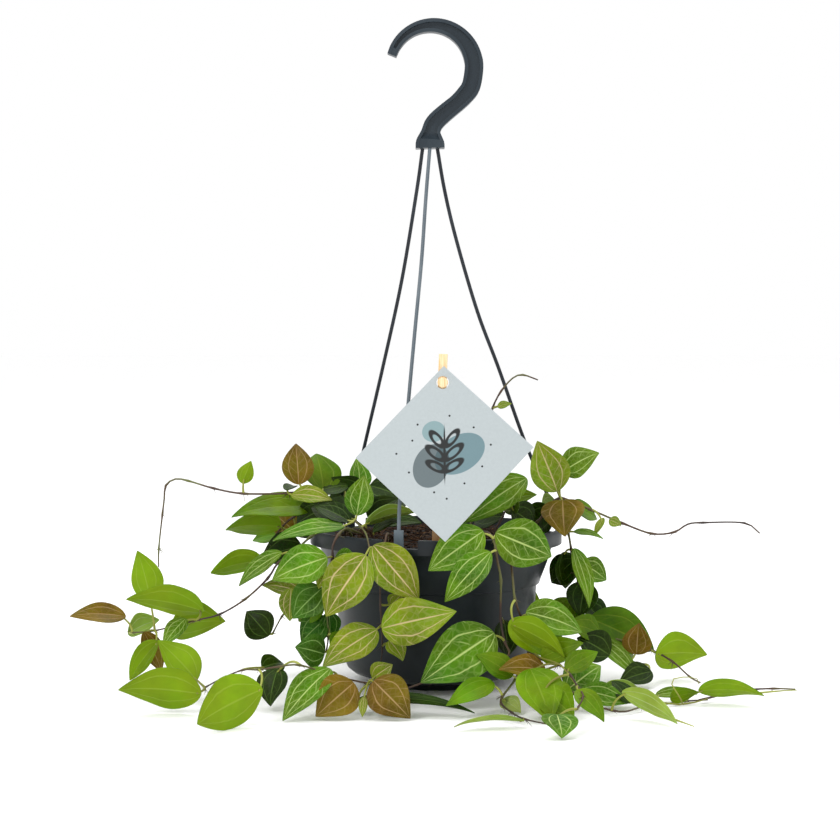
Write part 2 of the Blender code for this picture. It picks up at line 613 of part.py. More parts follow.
def flat_stick(name, bottom, top, width, thick, into):
    """A flat bar from its bottom to its top, square at both ends."""
    bottom, top = Vector(bottom), Vector(top)
    stick = block(name, (-width / 2, -thick / 2, 0), (width / 2, thick / 2, (top - bottom).length), into)
    lean = math.atan2(top.x - bottom.x, top.z - bottom.z)
    stick.data.transform(Matrix.Translation(metres(bottom)) @ Matrix.Rotation(lean, 4, "Y"))
    return stick


def make_stick(wood, parts, scratch):
    stick = flat_stick("label_stick", STICK_BOTTOM, STICK_TOP, STICK_WIDTH, STICK_THICK, parts)
    x, z = PEG_PLACE
    back = STICK_TOP[1]
    peg = cylinder("peg", PEG_RADIUS, (x, back - PEG_LENGTH, z), (x, back, z), scratch, PEG_SIDES)
    stick = joined(stick, [peg], "UNION")
    stick.data.materials.append(wood)


def make_card(card_white, parts, scratch):
    """The card, a little bent: a grid drawn between its four corners, with its hole."""
    top, left, bottom, right = (Vector(corner) for corner in CARD_CORNERS)
    shape = bmesh.new()
    bmesh.ops.create_grid(shape, x_segments=CARD_STEPS, y_segments=CARD_STEPS, size=0.5)
    for vert in shape.verts:
        across, along = vert.co.x + 0.5, vert.co.y + 0.5
        upper = top.lerp(right, across)
        lower = left.lerp(bottom, across)
        vert.co = metres(upper.lerp(lower, along))
    bmesh.ops.triangulate(shape, faces=shape.faces)
    bmesh.ops.recalc_face_normals(shape, faces=shape.faces)
    card = add_shape("label_card", shape, parts)
    solidify = card.modifiers.new("thickness", "SOLIDIFY")
    solidify.thickness = CARD_THICK * MM
    solidify.offset = 0.0
    card = baked(card)
    x, z = PEG_PLACE
    start, end = ((x, y, z) for y in CARD_CUT)
    hole = cylinder("hole", PEG_RADIUS + HOLE_MARGIN, start, end, scratch, PEG_SIDES)
    card = joined(card, [hole], "DIFFERENCE")
    card.data.materials.append(card_white)


def main():
    for old in list(bpy.data.objects):
        bpy.data.objects.remove(old)
    parts = collection("dischidia")
    scratch = collection("cutters")
    plastic = material("moulded plastic", PLASTIC, 0.45)
    green = material("leaf", LEAF_GREEN, 0.4)
    make_pot(plastic, parts, scratch)
    make_hook(plastic, parts)
    for name, (angle, points) in STRAPS.items():
        make_strap(name, angle, points, plastic, parts, scratch)
    make_stick(material("birch", WOOD, 0.6), parts, scratch)
    make_card(material("printed card", CARD_GREY, 0.5), parts, scratch)
    roots = []
    for name, (root, runs, leaves) in STEMS.items():
        leafy_stem(name, [rise(root) + runs[0], *runs[1:]], leaves, green, parts)
        roots.append(root)
    draw = random.Random(BACK_SEED)
    back_runs, back_leaves = [], []
    for angle, reach in BACK_STEMS:
        root, run, leaves = back_stem(angle, reach, draw)
        back_runs.append(rise(root) + run)
        back_leaves += leaves
        roots.append(root)
    leafy_stem("stems_back", back_runs, back_leaves, green, parts, BEHIND)
    make_soil(material("coir", COIR, 0.9), parts, scratch, roots)


main()
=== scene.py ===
import math
import random

import bmesh
import bpy
from mathutils import Matrix, Vector, noise


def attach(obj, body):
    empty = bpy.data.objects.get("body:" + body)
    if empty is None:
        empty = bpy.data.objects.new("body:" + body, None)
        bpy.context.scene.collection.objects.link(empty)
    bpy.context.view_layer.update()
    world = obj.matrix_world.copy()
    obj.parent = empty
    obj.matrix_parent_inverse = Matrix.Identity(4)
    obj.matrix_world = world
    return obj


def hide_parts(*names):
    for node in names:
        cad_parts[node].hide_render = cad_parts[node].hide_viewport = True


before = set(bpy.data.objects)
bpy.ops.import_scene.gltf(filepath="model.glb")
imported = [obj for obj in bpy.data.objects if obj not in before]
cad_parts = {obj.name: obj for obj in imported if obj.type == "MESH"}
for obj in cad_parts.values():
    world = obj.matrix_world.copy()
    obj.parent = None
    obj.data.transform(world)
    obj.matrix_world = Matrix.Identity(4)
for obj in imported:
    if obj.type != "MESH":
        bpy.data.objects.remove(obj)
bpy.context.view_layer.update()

# A trailing dischidia in a dark hanging pot. Lengths in the settings are in millimetres.
mm = 0.001


def linear(hexColour):
    channels = [int(hexColour[start:start + 2], 16) / 255 for start in (1, 3, 5)]
    return (*[c / 12.92 if c <= 0.04045 else ((c + 0.055) / 1.055) ** 2.4 for c in channels], 1.0)


def fill(tree, node, inputs):
    # A node or a socket is linked, and anything else becomes the socket's own value
    for name, value in inputs.items():
        if isinstance(value, bpy.types.Node):
            value = value.outputs[0]
        if isinstance(value, bpy.types.NodeSocket):
            tree.links.new(value, node.inputs[name])
        else:
            node.inputs[name].default_value = value
    return node


def addNode(tree, kind, settings={}, inputs={}):
    node = tree.nodes.new("ShaderNode" + kind)
    for name, value in settings.items():
        setattr(node, name, value)
    return fill(tree, node, inputs)


def span(low, high, start=1.0, end=0.0):
    # The sockets that map one range to another
    return {"From Min": low, "From Max": high, "To Min": start, "To Max": end}


def setRamp(node, stops):
    ramp = node.color_ramp.elements
    for number, (position, tint) in enumerate(stops):
        stop = ramp[number] if number < 2 else ramp.new(position)
        stop.position, stop.color = position, linear(tint)


def newMaterial(name, values):
    made = bpy.data.materials.new(name)
    made.use_nodes = True
    return made, made.node_tree, fill(made.node_tree, made.node_tree.nodes["Principled BSDF"], values)


def select(*objects):
    bpy.ops.object.select_all(action="DESELECT")
    for item in objects:
        item.select_set(True)
    bpy.context.view_layer.objects.active = objects[0]


def applyModifier(item, kind, settings):
    modifier = item.modifiers.new(kind.lower(), kind)
    for name, value in settings.items():
        setattr(modifier, name, value)
    select(item)
    bpy.ops.object.modifier_apply(modifier=modifier.name)


def joinPieces(target, others):
    select(target, *others)
    bpy.ops.object.join()
    return target


def settle(item):
    select(item)
    bpy.ops.object.transform_apply(location=True, rotation=True, scale=True)


def finishPiece(item, node, materials, angle=35):
    item.data.materials.clear()
    for made in materials:
        item.data.materials.append(made)
    select(item)
    bpy.ops.object.shade_smooth_by_angle(angle=math.radians(angle))
    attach(item, "root")
    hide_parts(node)


def addBlock(name, low, high, bevel=0.0, turn=0.0):
    low, high = Vector(low) * mm, Vector(high) * mm
    bpy.ops.object.select_all(action="DESELECT")
    bpy.ops.mesh.primitive_cube_add(size=1, location=(low + high) / 2)
    block = bpy.context.active_object
    block.name = name
    block.scale = high - low
    settle(block)
    if bevel:
        applyModifier(block, "BEVEL", {"width": bevel * mm, "segments": 3})
    block.data.transform(Matrix.Rotation(math.radians(turn), 4, "Z"))
    return block


def addRod(name, radius, start, end, sides=40, bevel=0.0):
    start, end = Vector(start) * mm, Vector(end) * mm
    bpy.ops.object.select_all(action="DESELECT")
    bpy.ops.mesh.primitive_cylinder_add(vertices=sides, radius=radius * mm, depth=(end - start).length,
                                        location=(start + end) / 2,
                                        rotation=(end - start).to_track_quat("Z", "Y").to_euler())
    rod = bpy.context.active_object
    rod.name = name
    settle(rod)
    if bevel:
        applyModifier(rod, "BEVEL", {"width": bevel * mm, "segments": 3, "limit_method": "ANGLE"})
    return rod


def spinProfile(name, profile, steps):
    # One vertex is extruded along the profile, then spun about Z
    bpy.ops.object.select_all(action="DESELECT")
    bpy.ops.mesh.primitive_plane_add(size=0.01)
    spun = bpy.context.active_object
    spun.name = name
    bpy.ops.object.mode_set(mode="EDIT")
    bpy.ops.mesh.select_all(action="SELECT")
    bpy.ops.mesh.merge(type="CENTER")
    bpy.ops.transform.translate(value=(profile[0][0] * mm, 0, profile[0][1] * mm))
    for (radius, height), (nextRadius, nextHeight) in zip(profile, profile[1:]):
        move = ((nextRadius - radius) * mm, 0, (nextHeight - height) * mm)
        bpy.ops.mesh.extrude_vertices_move(TRANSFORM_OT_translate={"value": move})
    bpy.ops.mesh.select_all(action="SELECT")
    bpy.ops.mesh.spin(steps=steps, angle=math.tau, center=(0, 0, 0), axis=(0, 0, 1))
    bpy.ops.mesh.select_all(action="SELECT")
    bpy.ops.mesh.remove_doubles(threshold=0.00001)
    bpy.ops.mesh.normals_make_consistent(inside=False)
    bpy.ops.object.mode_set(mode="OBJECT")
    return spun


def cut(body, cutters):
    tool = joinPieces(cutters[0], cutters[1:])
    applyModifier(body, "BOOLEAN", {"object": tool, "operation": "DIFFERENCE", "solver": "EXACT"})
    bpy.data.objects.remove(tool)


def smoothRoute(points, step):
    # Points about a step apart on a smooth curve through the given ones
    points = [Vector(point) for point in points]
    ends = [points[0] * 2 - points[1]] + points + [points[-1] * 2 - points[-2]]
    route = []
    for before, start, end, after in zip(ends, ends[1:], ends[2:], ends[3:]):
        count = max(1, round((end - start).length / step))
        for t in (index / count for index in range(count)):
            bend = (2 * before - 5 * start + 4 * end - after) * t * t
            twist = (3 * start - before - 3 * end + after) * t ** 3
            route.append((2 * start + (end - before) * t + bend + twist) / 2)
    return route + [points[-1]]


def addTubes(name, tubes, resolution=2):
    # Each tube is a list of (point, radius); all of them become one mesh
    data = bpy.data.curves.new(name, "CURVE")
    data.dimensions = "3D"
    data.bevel_depth = mm
    data.bevel_resolution = resolution
    data.use_fill_caps = True
    for tube in tubes:
        spline = data.splines.new("POLY")
        spline.points.add(len(tube) - 1)
        for point, (place, radius) in zip(spline.points, tube):
            point.co = (*(place * mm), 1.0)
            point.radius = radius
    made = bpy.data.objects.new(name, data)
    bpy.context.scene.collection.objects.link(made)
    select(made)
    bpy.ops.object.convert(target="MESH")
    made = bpy.context.active_object
    bpy.ops.object.mode_set(mode="EDIT")
    bpy.ops.mesh.select_all(action="SELECT")
    bpy.ops.mesh.remove_doubles(threshold=0.000001)
    bpy.ops.mesh.normals_make_consistent(inside=False)
    bpy.ops.object.mode_set(mode="OBJECT")
    return made


# Camera, light and floor
studio = {
    "lens": 85.7,
    "cameraPlace": (-0.0096, -1.2, 0.216),
    "cameraPitch": 2.776,
    "worldStrength": 1.0,
    "floorColour": "#ffffff",
    "lights": [  # place, aim, size, watts
        ((-0.9, -1.2, 1.5), (0, 0, 0.08), 0.6, 14),
        ((1.2, -0.9, 1.1), (0, 0, 0.08), 1.0, 3),
        ((0.1, 0.6, 1.6), (0, 0, 0.05), 0.9, 9),
    ],
}

bpy.ops.object.select_all(action="DESELECT")
bpy.ops.object.camera_add(location=studio["cameraPlace"],
                          rotation=(math.radians(90 - studio["cameraPitch"]), 0, 0))
camera = bpy.context.active_object
camera.data.lens = studio["lens"]
camera.data.sensor_width = 36.0
camera.data.clip_end = 50
bpy.context.scene.camera = camera
bpy.context.scene.view_settings.view_transform = "Standard"

for place, aim, size, watts in studio["lights"]:
    towards = (Vector(aim) - Vector(place)).to_track_quat("-Z", "Y").to_euler()
    bpy.ops.object.light_add(type="AREA", location=place, rotation=towards)
    lamp = bpy.context.active_object
    lamp.data.size = size
    lamp.data.energy = watts

world = bpy.context.scene.world or bpy.data.worlds.new("studio")
bpy.context.scene.world = world
world.use_nodes = True
fill(world.node_tree, world.node_tree.nodes["Background"],
     {"Color": (1, 1, 1, 1), "Strength": studio["worldStrength"]})

bpy.ops.object.select_all(action="DESELECT")
bpy.ops.mesh.primitive_plane_add(size=24)
floor = bpy.context.active_object
floor.name = "floor"
floorPaper, _, _ = newMaterial("matt white paper", {"Base Color": linear(studio["floorColour"]),
                                                    "Roughness": 0.9})
floor.data.materials.append(floorPaper)
print("camera, light and floor")


def plasticMaterial(name, colour, worn, roughness):
    # Injection-moulded polypropylene: a satin skin with a grain of about 1 mm, drawn coarse enough to show,
    # and paler rubbed patches about 26 mm across
    made, tree, shader = newMaterial(name, {"Metallic": 0.0, "IOR": 1.49, "Specular IOR Level": 0.3})
    place = addNode(tree, "TexCoord").outputs["Object"]
    rubbed = addNode(tree, "TexNoise", {}, {"Vector": place, "Scale": 38.0, "Detail": 5.0,
                                            "Roughness": 0.6})
    streak = addNode(tree, "MapRange", {}, {"Value": rubbed, **span(0.45, 0.75, 0.0, 0.45)})
    tint = addNode(tree, "Mix", {"data_type": "RGBA"}, {0: streak, 6: linear(colour), 7: linear(worn)})
    skin = addNode(tree, "MapRange", {}, {"Value": rubbed,
                                          **span(0.3, 0.7, roughness - 0.07, roughness + 0.1)})
    fine = addNode(tree, "TexNoise", {}, {"Vector": place, "Scale": 900.0, "Detail": 2.0})
    bump = addNode(tree, "Bump", {}, {"Height": fine, "Strength": 0.12, "Distance": 0.0002})
    fill(tree, shader, {"Base Color": tint.outputs[2], "Roughness": skin, "Normal": bump})
    return made


potPlastic = plasticMaterial("polypropylene pot, moulded", "#10171b", "#29343b", 0.4)
hookPlastic = plasticMaterial("polypropylene hook, moulded", "#262f36", "#414b53", 0.36)
strapPlastic = plasticMaterial("polypropylene strap, drawn", "#1a1f26", "#363e47", 0.42)
# Painted light: a paler copy of the strap plastic that stands in for the light falling on the front strap
litStrapPlastic = plasticMaterial("polypropylene strap, painted lit", "#4d5860", "#868e93", 0.4)


# The pot's profile is a list of (radius, height), up the inside and down the outside
pot = {
    "inside": [(0, 6.4), (44, 7.2), (50.8, 9.6), (53.2, 13.4), (56.9, 34), (59, 59), (61, 61.8), (65.2, 73),
               (67.3, 80), (69, 84.5), (72.8, 87.4)],
    "outside": [(72.8, 93), (75.1, 93), (75.6, 92.5), (75.6, 84.5), (70.6, 84.5), (69, 80), (66.9, 73),
                (62.9, 62.6), (62.3, 60.6), (60.6, 60), (58.5, 34), (55.2, 14), (53.4, 10), (50, 7.2),
                (45, 5.4), (33, 4), (33, 0), (0, 0)],
    "steps": 120,
    "notchAngles": (-16.3, -136.3, 103.7),
    "notchWidth": 21.0,
    "notchFloor": 88.2,
    "notchTop": 99.0,
    "notchReach": (-80.0, -66.0),
    "drainHoles": 6,
    "drainRadius": 3.0,
    "drainCircle": 42.0,
    "drainHeights": (2.0, 11.0),
    "drainSides": 24,
    "edge": 0.35,
}

potPiece = spinProfile("potMoulded", pot["inside"] + pot["outside"], pot["steps"])
front, back = pot["notchReach"]
half = pot["notchWidth"] / 2
cutters = [addBlock("notchTool", (-half, front, pot["notchFloor"]), (half, back, pot["notchTop"]), turn=angle)
           for angle in pot["notchAngles"]]
low, high = pot["drainHeights"]
for number in range(pot["drainHoles"]):
    angle = math.radians(360 * (number + 0.5) / pot["drainHoles"])
    x, y = pot["drainCircle"] * math.sin(angle), -pot["drainCircle"] * math.cos(angle)
    cutters.append(addRod("drainTool", pot["drainRadius"], (x, y, low), (x, y, high),
                          pot["drainSides"]))
cut(potPiece, cutters)
applyModifier(potPiece, "BEVEL", {"width": pot["edge"] * mm, "segments": 2, "limit_method": "ANGLE",
                                  "angle_limit": math.radians(40)})
finishPiece(potPiece, "pot", [potPlastic], 30)
print("pot")


# Soil, with coir fibres and crumbs on it
soil = {
    "outline": [(0, 88.6), (18, 87.6), (36, 88), (54, 87.4), (65, 86.4), (68.2, 84.4), (66.9, 80),
                (64.7, 73), (60.3, 61.9), (58.3, 58.8), (56.3, 34), (52.4, 13.6), (50, 10), (43.6, 7.7),
                (0, 6.9)],
    "topPoints": 6,  # how many outline points lie on the top
    "steps": 110,
    "ringGap": 1.8,
    "topAbove": 83.5,
    "flatEdge": (68.2, 4.0),  # the unevenness fades out inside this radius, over this width
    "uneven": [(1.1, 160), (0.9, 420)],  # height and how fine
    "seed": 4,
    "strands": 620,
    "strandReach": 66.0,
    "strandLength": (5, 17),
    "strandLift": (-0.2, 1.0),
    "strandTilt": 0.2,
    "strandBend": (0.3, 1.4),
    "strandModel": [(-5, 0.08), (-2.5, 0.2), (0, 0.24), (2.5, 0.2), (5, 0.08)],  # place and radius
    "crumbs": 240,
    "crumbReach": 65.0,
    "crumbSize": (0.8, 2.6),
    "crumbShape": (1.5, 1.0, 0.7),
}


def coirMaterial(name, dark, mid, glint):
    # Coarse coir: matt red-brown husk with pale torn fibres and painted glints of highlight, mottled about
    # every 4 mm
    made, tree, shader = newMaterial(name, {"Roughness": 0.85, "Specular IOR Level": 0.2})
    place = addNode(tree, "TexCoord").outputs["Object"]
    husk = addNode(tree, "TexNoise", {}, {"Vector": place, "Scale": 240.0, "Detail": 6.0,
                                          "Roughness": 0.7})
    tint = addNode(tree, "ValToRGB", {}, {"Fac": husk})
    # The palest stop is a painted glint: highlight colour put into the base colour
    setRamp(tint, [(0.36, dark), (0.56, mid), (0.72, glint)])
    bump = addNode(tree, "Bump", {}, {"Height": husk, "Strength": 0.6, "Distance": 0.001})
    fill(tree, shader, {"Base Color": tint, "Normal": bump})
    return made


coirBed = coirMaterial("coir, milled", "#0a0604", "#21130a", "#46301c")
coirStrand = coirMaterial("coir fibre, torn", "#1d110a", "#482c18", "#a47c4c")

outline = soil["outline"]
soilProfile = [(0, 88.6)]
for (radius, height), (nextRadius, nextHeight) in zip(outline, outline[1:soil["topPoints"]]):
    parts = max(1, round((nextRadius - radius) / soil["ringGap"]))
    soilProfile += [(radius + (nextRadius - radius) * n / parts, height + (nextHeight - height) * n / parts)
                    for n in range(1, parts + 1)]
soilPiece = spinProfile("soilBed", soilProfile + outline[soil["topPoints"]:], soil["steps"])
edge, fade = soil["flatEdge"]
for vert in soilPiece.data.vertices:
    if vert.co.z > soil["topAbove"] * mm:
        inner = min(1.0, (edge - vert.co.xy.length / mm) / fade)
        uneven = sum(height * noise.noise(vert.co * scale) for height, scale in soil["uneven"])
        vert.co.z += inner * uneven * mm
finishPiece(soilPiece, "soil", [coirBed], 60)


def soilHeight(radius):
    for (low, height), (high, nextHeight) in zip(outline, outline[1:soil["topPoints"]]):
        if low <= radius <= high:
            return height + (nextHeight - height) * (radius - low) / (high - low)
    return outline[soil["topPoints"] - 1][1]


def scatter(name, model, count, place):
    # Copies one small model, each with its own place, into one mesh
    field = bmesh.new()
    for number in range(count):
        copied = model.copy()
        copied.transform(place(number))
        field.from_mesh(copied)
        bpy.data.meshes.remove(copied)
    mesh = bpy.data.meshes.new(name)
    field.to_mesh(mesh)
    field.free()
    made = bpy.data.objects.new(name, mesh)
    bpy.context.scene.collection.objects.link(made)
    return made


def soilSpot(reach):
    radius, angle = reach * math.sqrt(soilDraw.random()), soilDraw.uniform(0, math.tau)
    return Vector((radius * math.cos(angle), radius * math.sin(angle), soilHeight(radius)))


soilDraw = random.Random(soil["seed"])
# One wavy fibre, 10 mm long
strandLine = [(Vector((x, 2.0 * math.sin(x * 0.33), 1.1 * math.sin(x * 0.21 + 0.4))), radius)
              for x, radius in soil["strandModel"]]
strandModel = addTubes("strandModel", [strandLine], 0)


def strandPlace(number):
    spot = soilSpot(soil["strandReach"]) + Vector((0, 0, soilDraw.uniform(*soil["strandLift"])))
    length = soilDraw.uniform(*soil["strandLength"]) / 10
    turn = Matrix.Rotation(soilDraw.uniform(0, math.tau), 4, "Z")
    turn = turn @ Matrix.Rotation(soilDraw.gauss(0, soil["strandTilt"]), 4, "Y")
    bend = length * soilDraw.uniform(*soil["strandBend"])
    return Matrix.Translation(spot * mm) @ turn @ Matrix.Diagonal((length, bend, 1, 1))


strands = scatter("coirStrands", strandModel.data, soil["strands"], strandPlace)
bpy.data.objects.remove(strandModel)
finishPiece(strands, "soil", [coirStrand], 60)

bpy.ops.object.select_all(action="DESELECT")
bpy.ops.mesh.primitive_ico_sphere_add(subdivisions=2, radius=mm / 2)
crumbModel = bpy.context.active_object
for vert in crumbModel.data.vertices:
    vert.co *= 1 + 0.5 * noise.noise(vert.co * 2600)


def crumbPlace(number):
    spot = soilSpot(soil["crumbReach"])
    size = soilDraw.uniform(*soil["crumbSize"])
    spot.z += size / 4
    angle = soilDraw.uniform(0, math.tau)
    turn = Matrix.Rotation(angle, 4, Vector((soilDraw.random(), 0.5, 0.3)).normalized())
    shape = [size * share for share in soil["crumbShape"]]
    return Matrix.Translation(spot * mm) @ turn @ Matrix.Diagonal((*shape, 1))


crumbs = scatter("coirCrumbs", crumbModel.data, soil["crumbs"], crumbPlace)
bpy.data.objects.remove(crumbModel)
finishPiece(crumbs, "soil", [coirBed], 60)
print("soil")


# The hook is an arc of (angle, width), then a tail of (x, height, width)
hook = {
    "centre": (-2.45, 367.7),
    "radius": 25.0,
    "arc": [(163, 5.6), (150, 6.0), (135, 6.4), (120, 6.8), (105, 7.4), (90, 8.0), (75, 8.6), (60, 9.2),
            (45, 9.8), (30, 10.4), (15, 10.8), (0, 11.0)],
    "tail": [(20.8, 357, 11.2), (16.9, 351.3, 10.8), (12.4, 346.8, 10.3), (8.2, 343.4, 10.4),
             (4.1, 340, 10.6), (0.4, 336.6, 10.8), (-1.9, 333.5, 11), (-3, 330, 11.4), (-3.6, 324, 16.6),
             (-3.6, 320, 17.3)],
    "halfDepth": 4.0,
    "footHalfDepth": 6.5,
    "flange": 2.1,
    "web": 1.3,
    "step": 1.6,
    # The I section closes over a length at the tip, and from a height down at the foot
    "tipSolid": 7.0,
    "tipFade": 2.0,
    "footTop": 330.0,
    "footFade": 5.0,
    "closedWeb": 0.96,
    "edge": 0.55,
}


def iSection(width, halfDepth, web, flange):
    outer, inner = width / 2, width / 2 - flange
    right = [(inner, web), (inner, halfDepth), (outer, halfDepth)]
    right += [(across, -depth) for across, depth in reversed(right)]
    return right + [(-across, -depth) for across, depth in right]


hookLine = [(hook["centre"][0] + hook["radius"] * math.cos(math.radians(angle)),
             hook["centre"][1] + hook["radius"] * math.sin(math.radians(angle)), width)
            for angle, width in hook["arc"]] + hook["tail"]
stations = smoothRoute(hookLine, hook["step"])
loft = bmesh.new()
rings = []
for number, (x, z, width) in enumerate(stations):
    before, after = stations[max(number - 1, 0)], stations[min(number + 1, len(stations) - 1)]
    ahead = Vector((after.x - before.x, 0, after.y - before.y))
    across = Vector((0, 1, 0)).cross(ahead).normalized()
    lower = number > len(stations) / 2
    foot = min(1.0, max(0.0, (hook["footTop"] - z) / hook["footFade"])) if lower else 0.0
    closed = max(foot, min(1.0, max(0.0, (hook["tipSolid"] - number * hook["step"]) / hook["tipFade"])))
    halfDepth = hook["halfDepth"] + (hook["footHalfDepth"] - hook["halfDepth"]) * foot
    web = hook["web"] + (halfDepth * hook["closedWeb"] - hook["web"]) * closed
    section = iSection(width, halfDepth, web, hook["flange"])
    ring = [Vector((x, 0, z)) + across * aside + Vector((0, depth, 0)) for aside, depth in section]
    rings.append([loft.verts.new(point * mm) for point in ring])
for ring, following in zip(rings, rings[1:]):
    for corner in range(len(ring)):
        loft.faces.new((ring[corner - 1], ring[corner], following[corner], following[corner - 1]))
loft.faces.new(rings[0])
loft.faces.new(rings[-1])
bmesh.ops.recalc_face_normals(loft, faces=loft.faces)
hookMesh = bpy.data.meshes.new("hookMoulded")
loft.to_mesh(hookMesh)
loft.free()
hookPiece = bpy.data.objects.new("hookMoulded", hookMesh)
bpy.context.scene.collection.objects.link(hookPiece)
applyModifier(hookPiece, "BEVEL", {"width": hook["edge"] * mm, "segments": 3, "limit_method": "ANGLE",
                                   "angle_limit": math.radians(50)})
finishPiece(hookPiece, "hook", [hookPlastic], 40)
print("hook")


# Each strap has its clip's angle round the pot, and its route up to the hook
strap = {
    "radius": 1.1,
    "clipWidth": 5.6,
    "clipIn": 75.9,
    "clipOut": 77.9,
    "clipBottom": 82.3,
    "clipTop": 99.0,
    "toeTop": 84.2,
    "toeReach": 71.5,
    "toeInset": 0.4,
    "edge": 0.4,
    "step": 5.0,
    "lineEnd": (98.0, 95.0),  # where the round line enters its clip and ends in it
    "routes": {
        "strap_front": (-16.3, [(-3.7, -4.4, 320.6), (-6.2, -14.4, 289), (-8.7, -26.5, 252.5),
                                (-12.5, -39.9, 212), (-15.8, -51.9, 176), (-19.6, -66, 132.6),
                                (-21.2, -72, 113)]),
        "strap_left": (-136.3, [(-8, 2.3, 320.6), (-11.8, 8.5, 294), (-20.9, 21.1, 241), (-32.7, 33.8, 188),
                                (-44.1, 45.4, 140), (-51, 52.8, 110)]),
        "strap_right": (103.7, [(0.7, 1.4, 320.6), (5.2, 3.3, 295), (12.2, 5.4, 266), (25, 8.5, 223),
                                (37.9, 11.1, 189), (53.4, 14.2, 146), (66, 16.6, 116)]),
    },
}

for node, (angle, points) in strap["routes"].items():
    half = strap["clipWidth"] / 2
    plate = addBlock("clipPlate", (-half, -strap["clipOut"], strap["clipBottom"]),
                     (half, -strap["clipIn"], strap["clipTop"]), strap["edge"], angle)
    toe = addBlock("clipToe", (-half, strap["toeInset"] - strap["clipOut"], strap["clipBottom"]),
                   (half, -strap["toeReach"], strap["toeTop"]), strap["edge"], angle)
    middle = (strap["clipIn"] + strap["clipOut"]) / 2
    enter, stop = (Matrix.Rotation(math.radians(angle), 3, "Z") @ Vector((0, -middle, height))
                   for height in strap["lineEnd"])
    route = smoothRoute([*points, enter], strap["step"]) + [stop]
    strapPiece = addTubes(node + "Drawn", [[(point, strap["radius"]) for point in route]], 3)
    joinPieces(strapPiece, [plate, toe])
    # The front strap takes the paler copy, which is painted light; the left and right straps keep the dark
    # plastic
    finishPiece(strapPiece, node, [litStrapPlastic if node == "strap_front" else strapPlastic])
print("straps")


# The plant label: a square card on its corner, on a flat stick
label = {
    "stickWidth": 5.0,
    "stickThick": 2.4,
    "stickTop": (3.7, -60, 198.4),
    "stickBottom": (-1.0, -60, 70),
    "stickEdge": 0.3,
    "pegRadius": 3.0,
    "pegPlace": (3.3, 182.3),
    "pegLength": 7.2,
    "pegEdge": 0.9,
    "pegSides": 36,
    "cardCorners": [(3.9, -63.5, 191.6), (-46, -74, 140), (4.5, -88, 93.9), (54.5, -74, 146)],
    "cardThick": 0.6,
    "cardHole": 3.6,
    "holeReach": (-75.0, -58.0),
    "holeSides": 40,
    "cardSteps": 24,
}
# The print, in the card's own frame: x to the right and y up, 1 at the corners
cardPrint = {
    "patches": [((0.17, -0.02), (0.30, 0.21), 28, "#466e77"), ((-0.15, -0.14), (0.20, 0.25), -20, "#33464b"),
                ((-0.12, 0.25), (0.13, 0.12), 0, "#6d8d91")],
    "outlines": [((0.085, 0.16), (0.10, 0.042), 52), ((-0.085, 0.16), (0.10, 0.042), 128),
                 ((0.10, 0.0), (0.115, 0.046), 40), ((-0.10, 0.0), (0.115, 0.046), 140),
                 ((0.095, -0.15), (0.105, 0.042), 30), ((-0.095, -0.15), (0.105, 0.042), 150)],
    "lineWidth": 0.018,
    "dots": [(-0.36, 0.16), (0.33, 0.27), (0.42, -0.18), (-0.40, -0.20), (0.06, 0.42), (-0.12, -0.44),
             (0.22, -0.36), (-0.30, 0.34), (0.02, -0.52), (0.52, 0.06), (-0.54, 0.02)],
    "dotSize": 0.012,
    "dotEdge": (0.9, 1.1),  # where the ink starts to fade and where it ends, per radius
    "stalk": ((0, -0.02), (0.014, 0.33), (0.8, 1.1)),
    "ink": "#0d1213",
}


def birchMaterial():
    # Planed birch, cut along the grain: pale cream with darker streaks 1 mm wide and 25 mm long
    made, tree, shader = newMaterial("birch, planed", {"Roughness": 0.6})
    place = addNode(tree, "TexCoord").outputs["Object"]
    drawn = addNode(tree, "Mapping", {}, {"Vector": place, "Scale": (1400.0, 900.0, 40.0)})
    grain = addNode(tree, "TexNoise", {}, {"Vector": drawn, "Scale": 1.0, "Detail": 4.0,
                                           "Roughness": 0.6})
    tint = addNode(tree, "ValToRGB", {}, {"Fac": grain})
    setRamp(tint, [(0.3, "#d9a868"), (0.62, "#f6deb6")])
    height = addNode(tree, "SeparateXYZ", {}, {"Vector": place}).outputs["Z"]
    damp = addNode(tree, "MapRange", {}, {"Value": height, **span(0.09, 0.125, 0.75, 0.0)})
    wet = addNode(tree, "Mix", {"data_type": "RGBA"}, {0: damp, 6: tint.outputs[0], 7: linear("#b06a2c")})
    bump = addNode(tree, "Bump", {}, {"Height": grain, "Strength": 0.25, "Distance": 0.0003})
    fill(tree, shader, {"Base Color": wet.outputs[2], "Normal": bump})
    return made


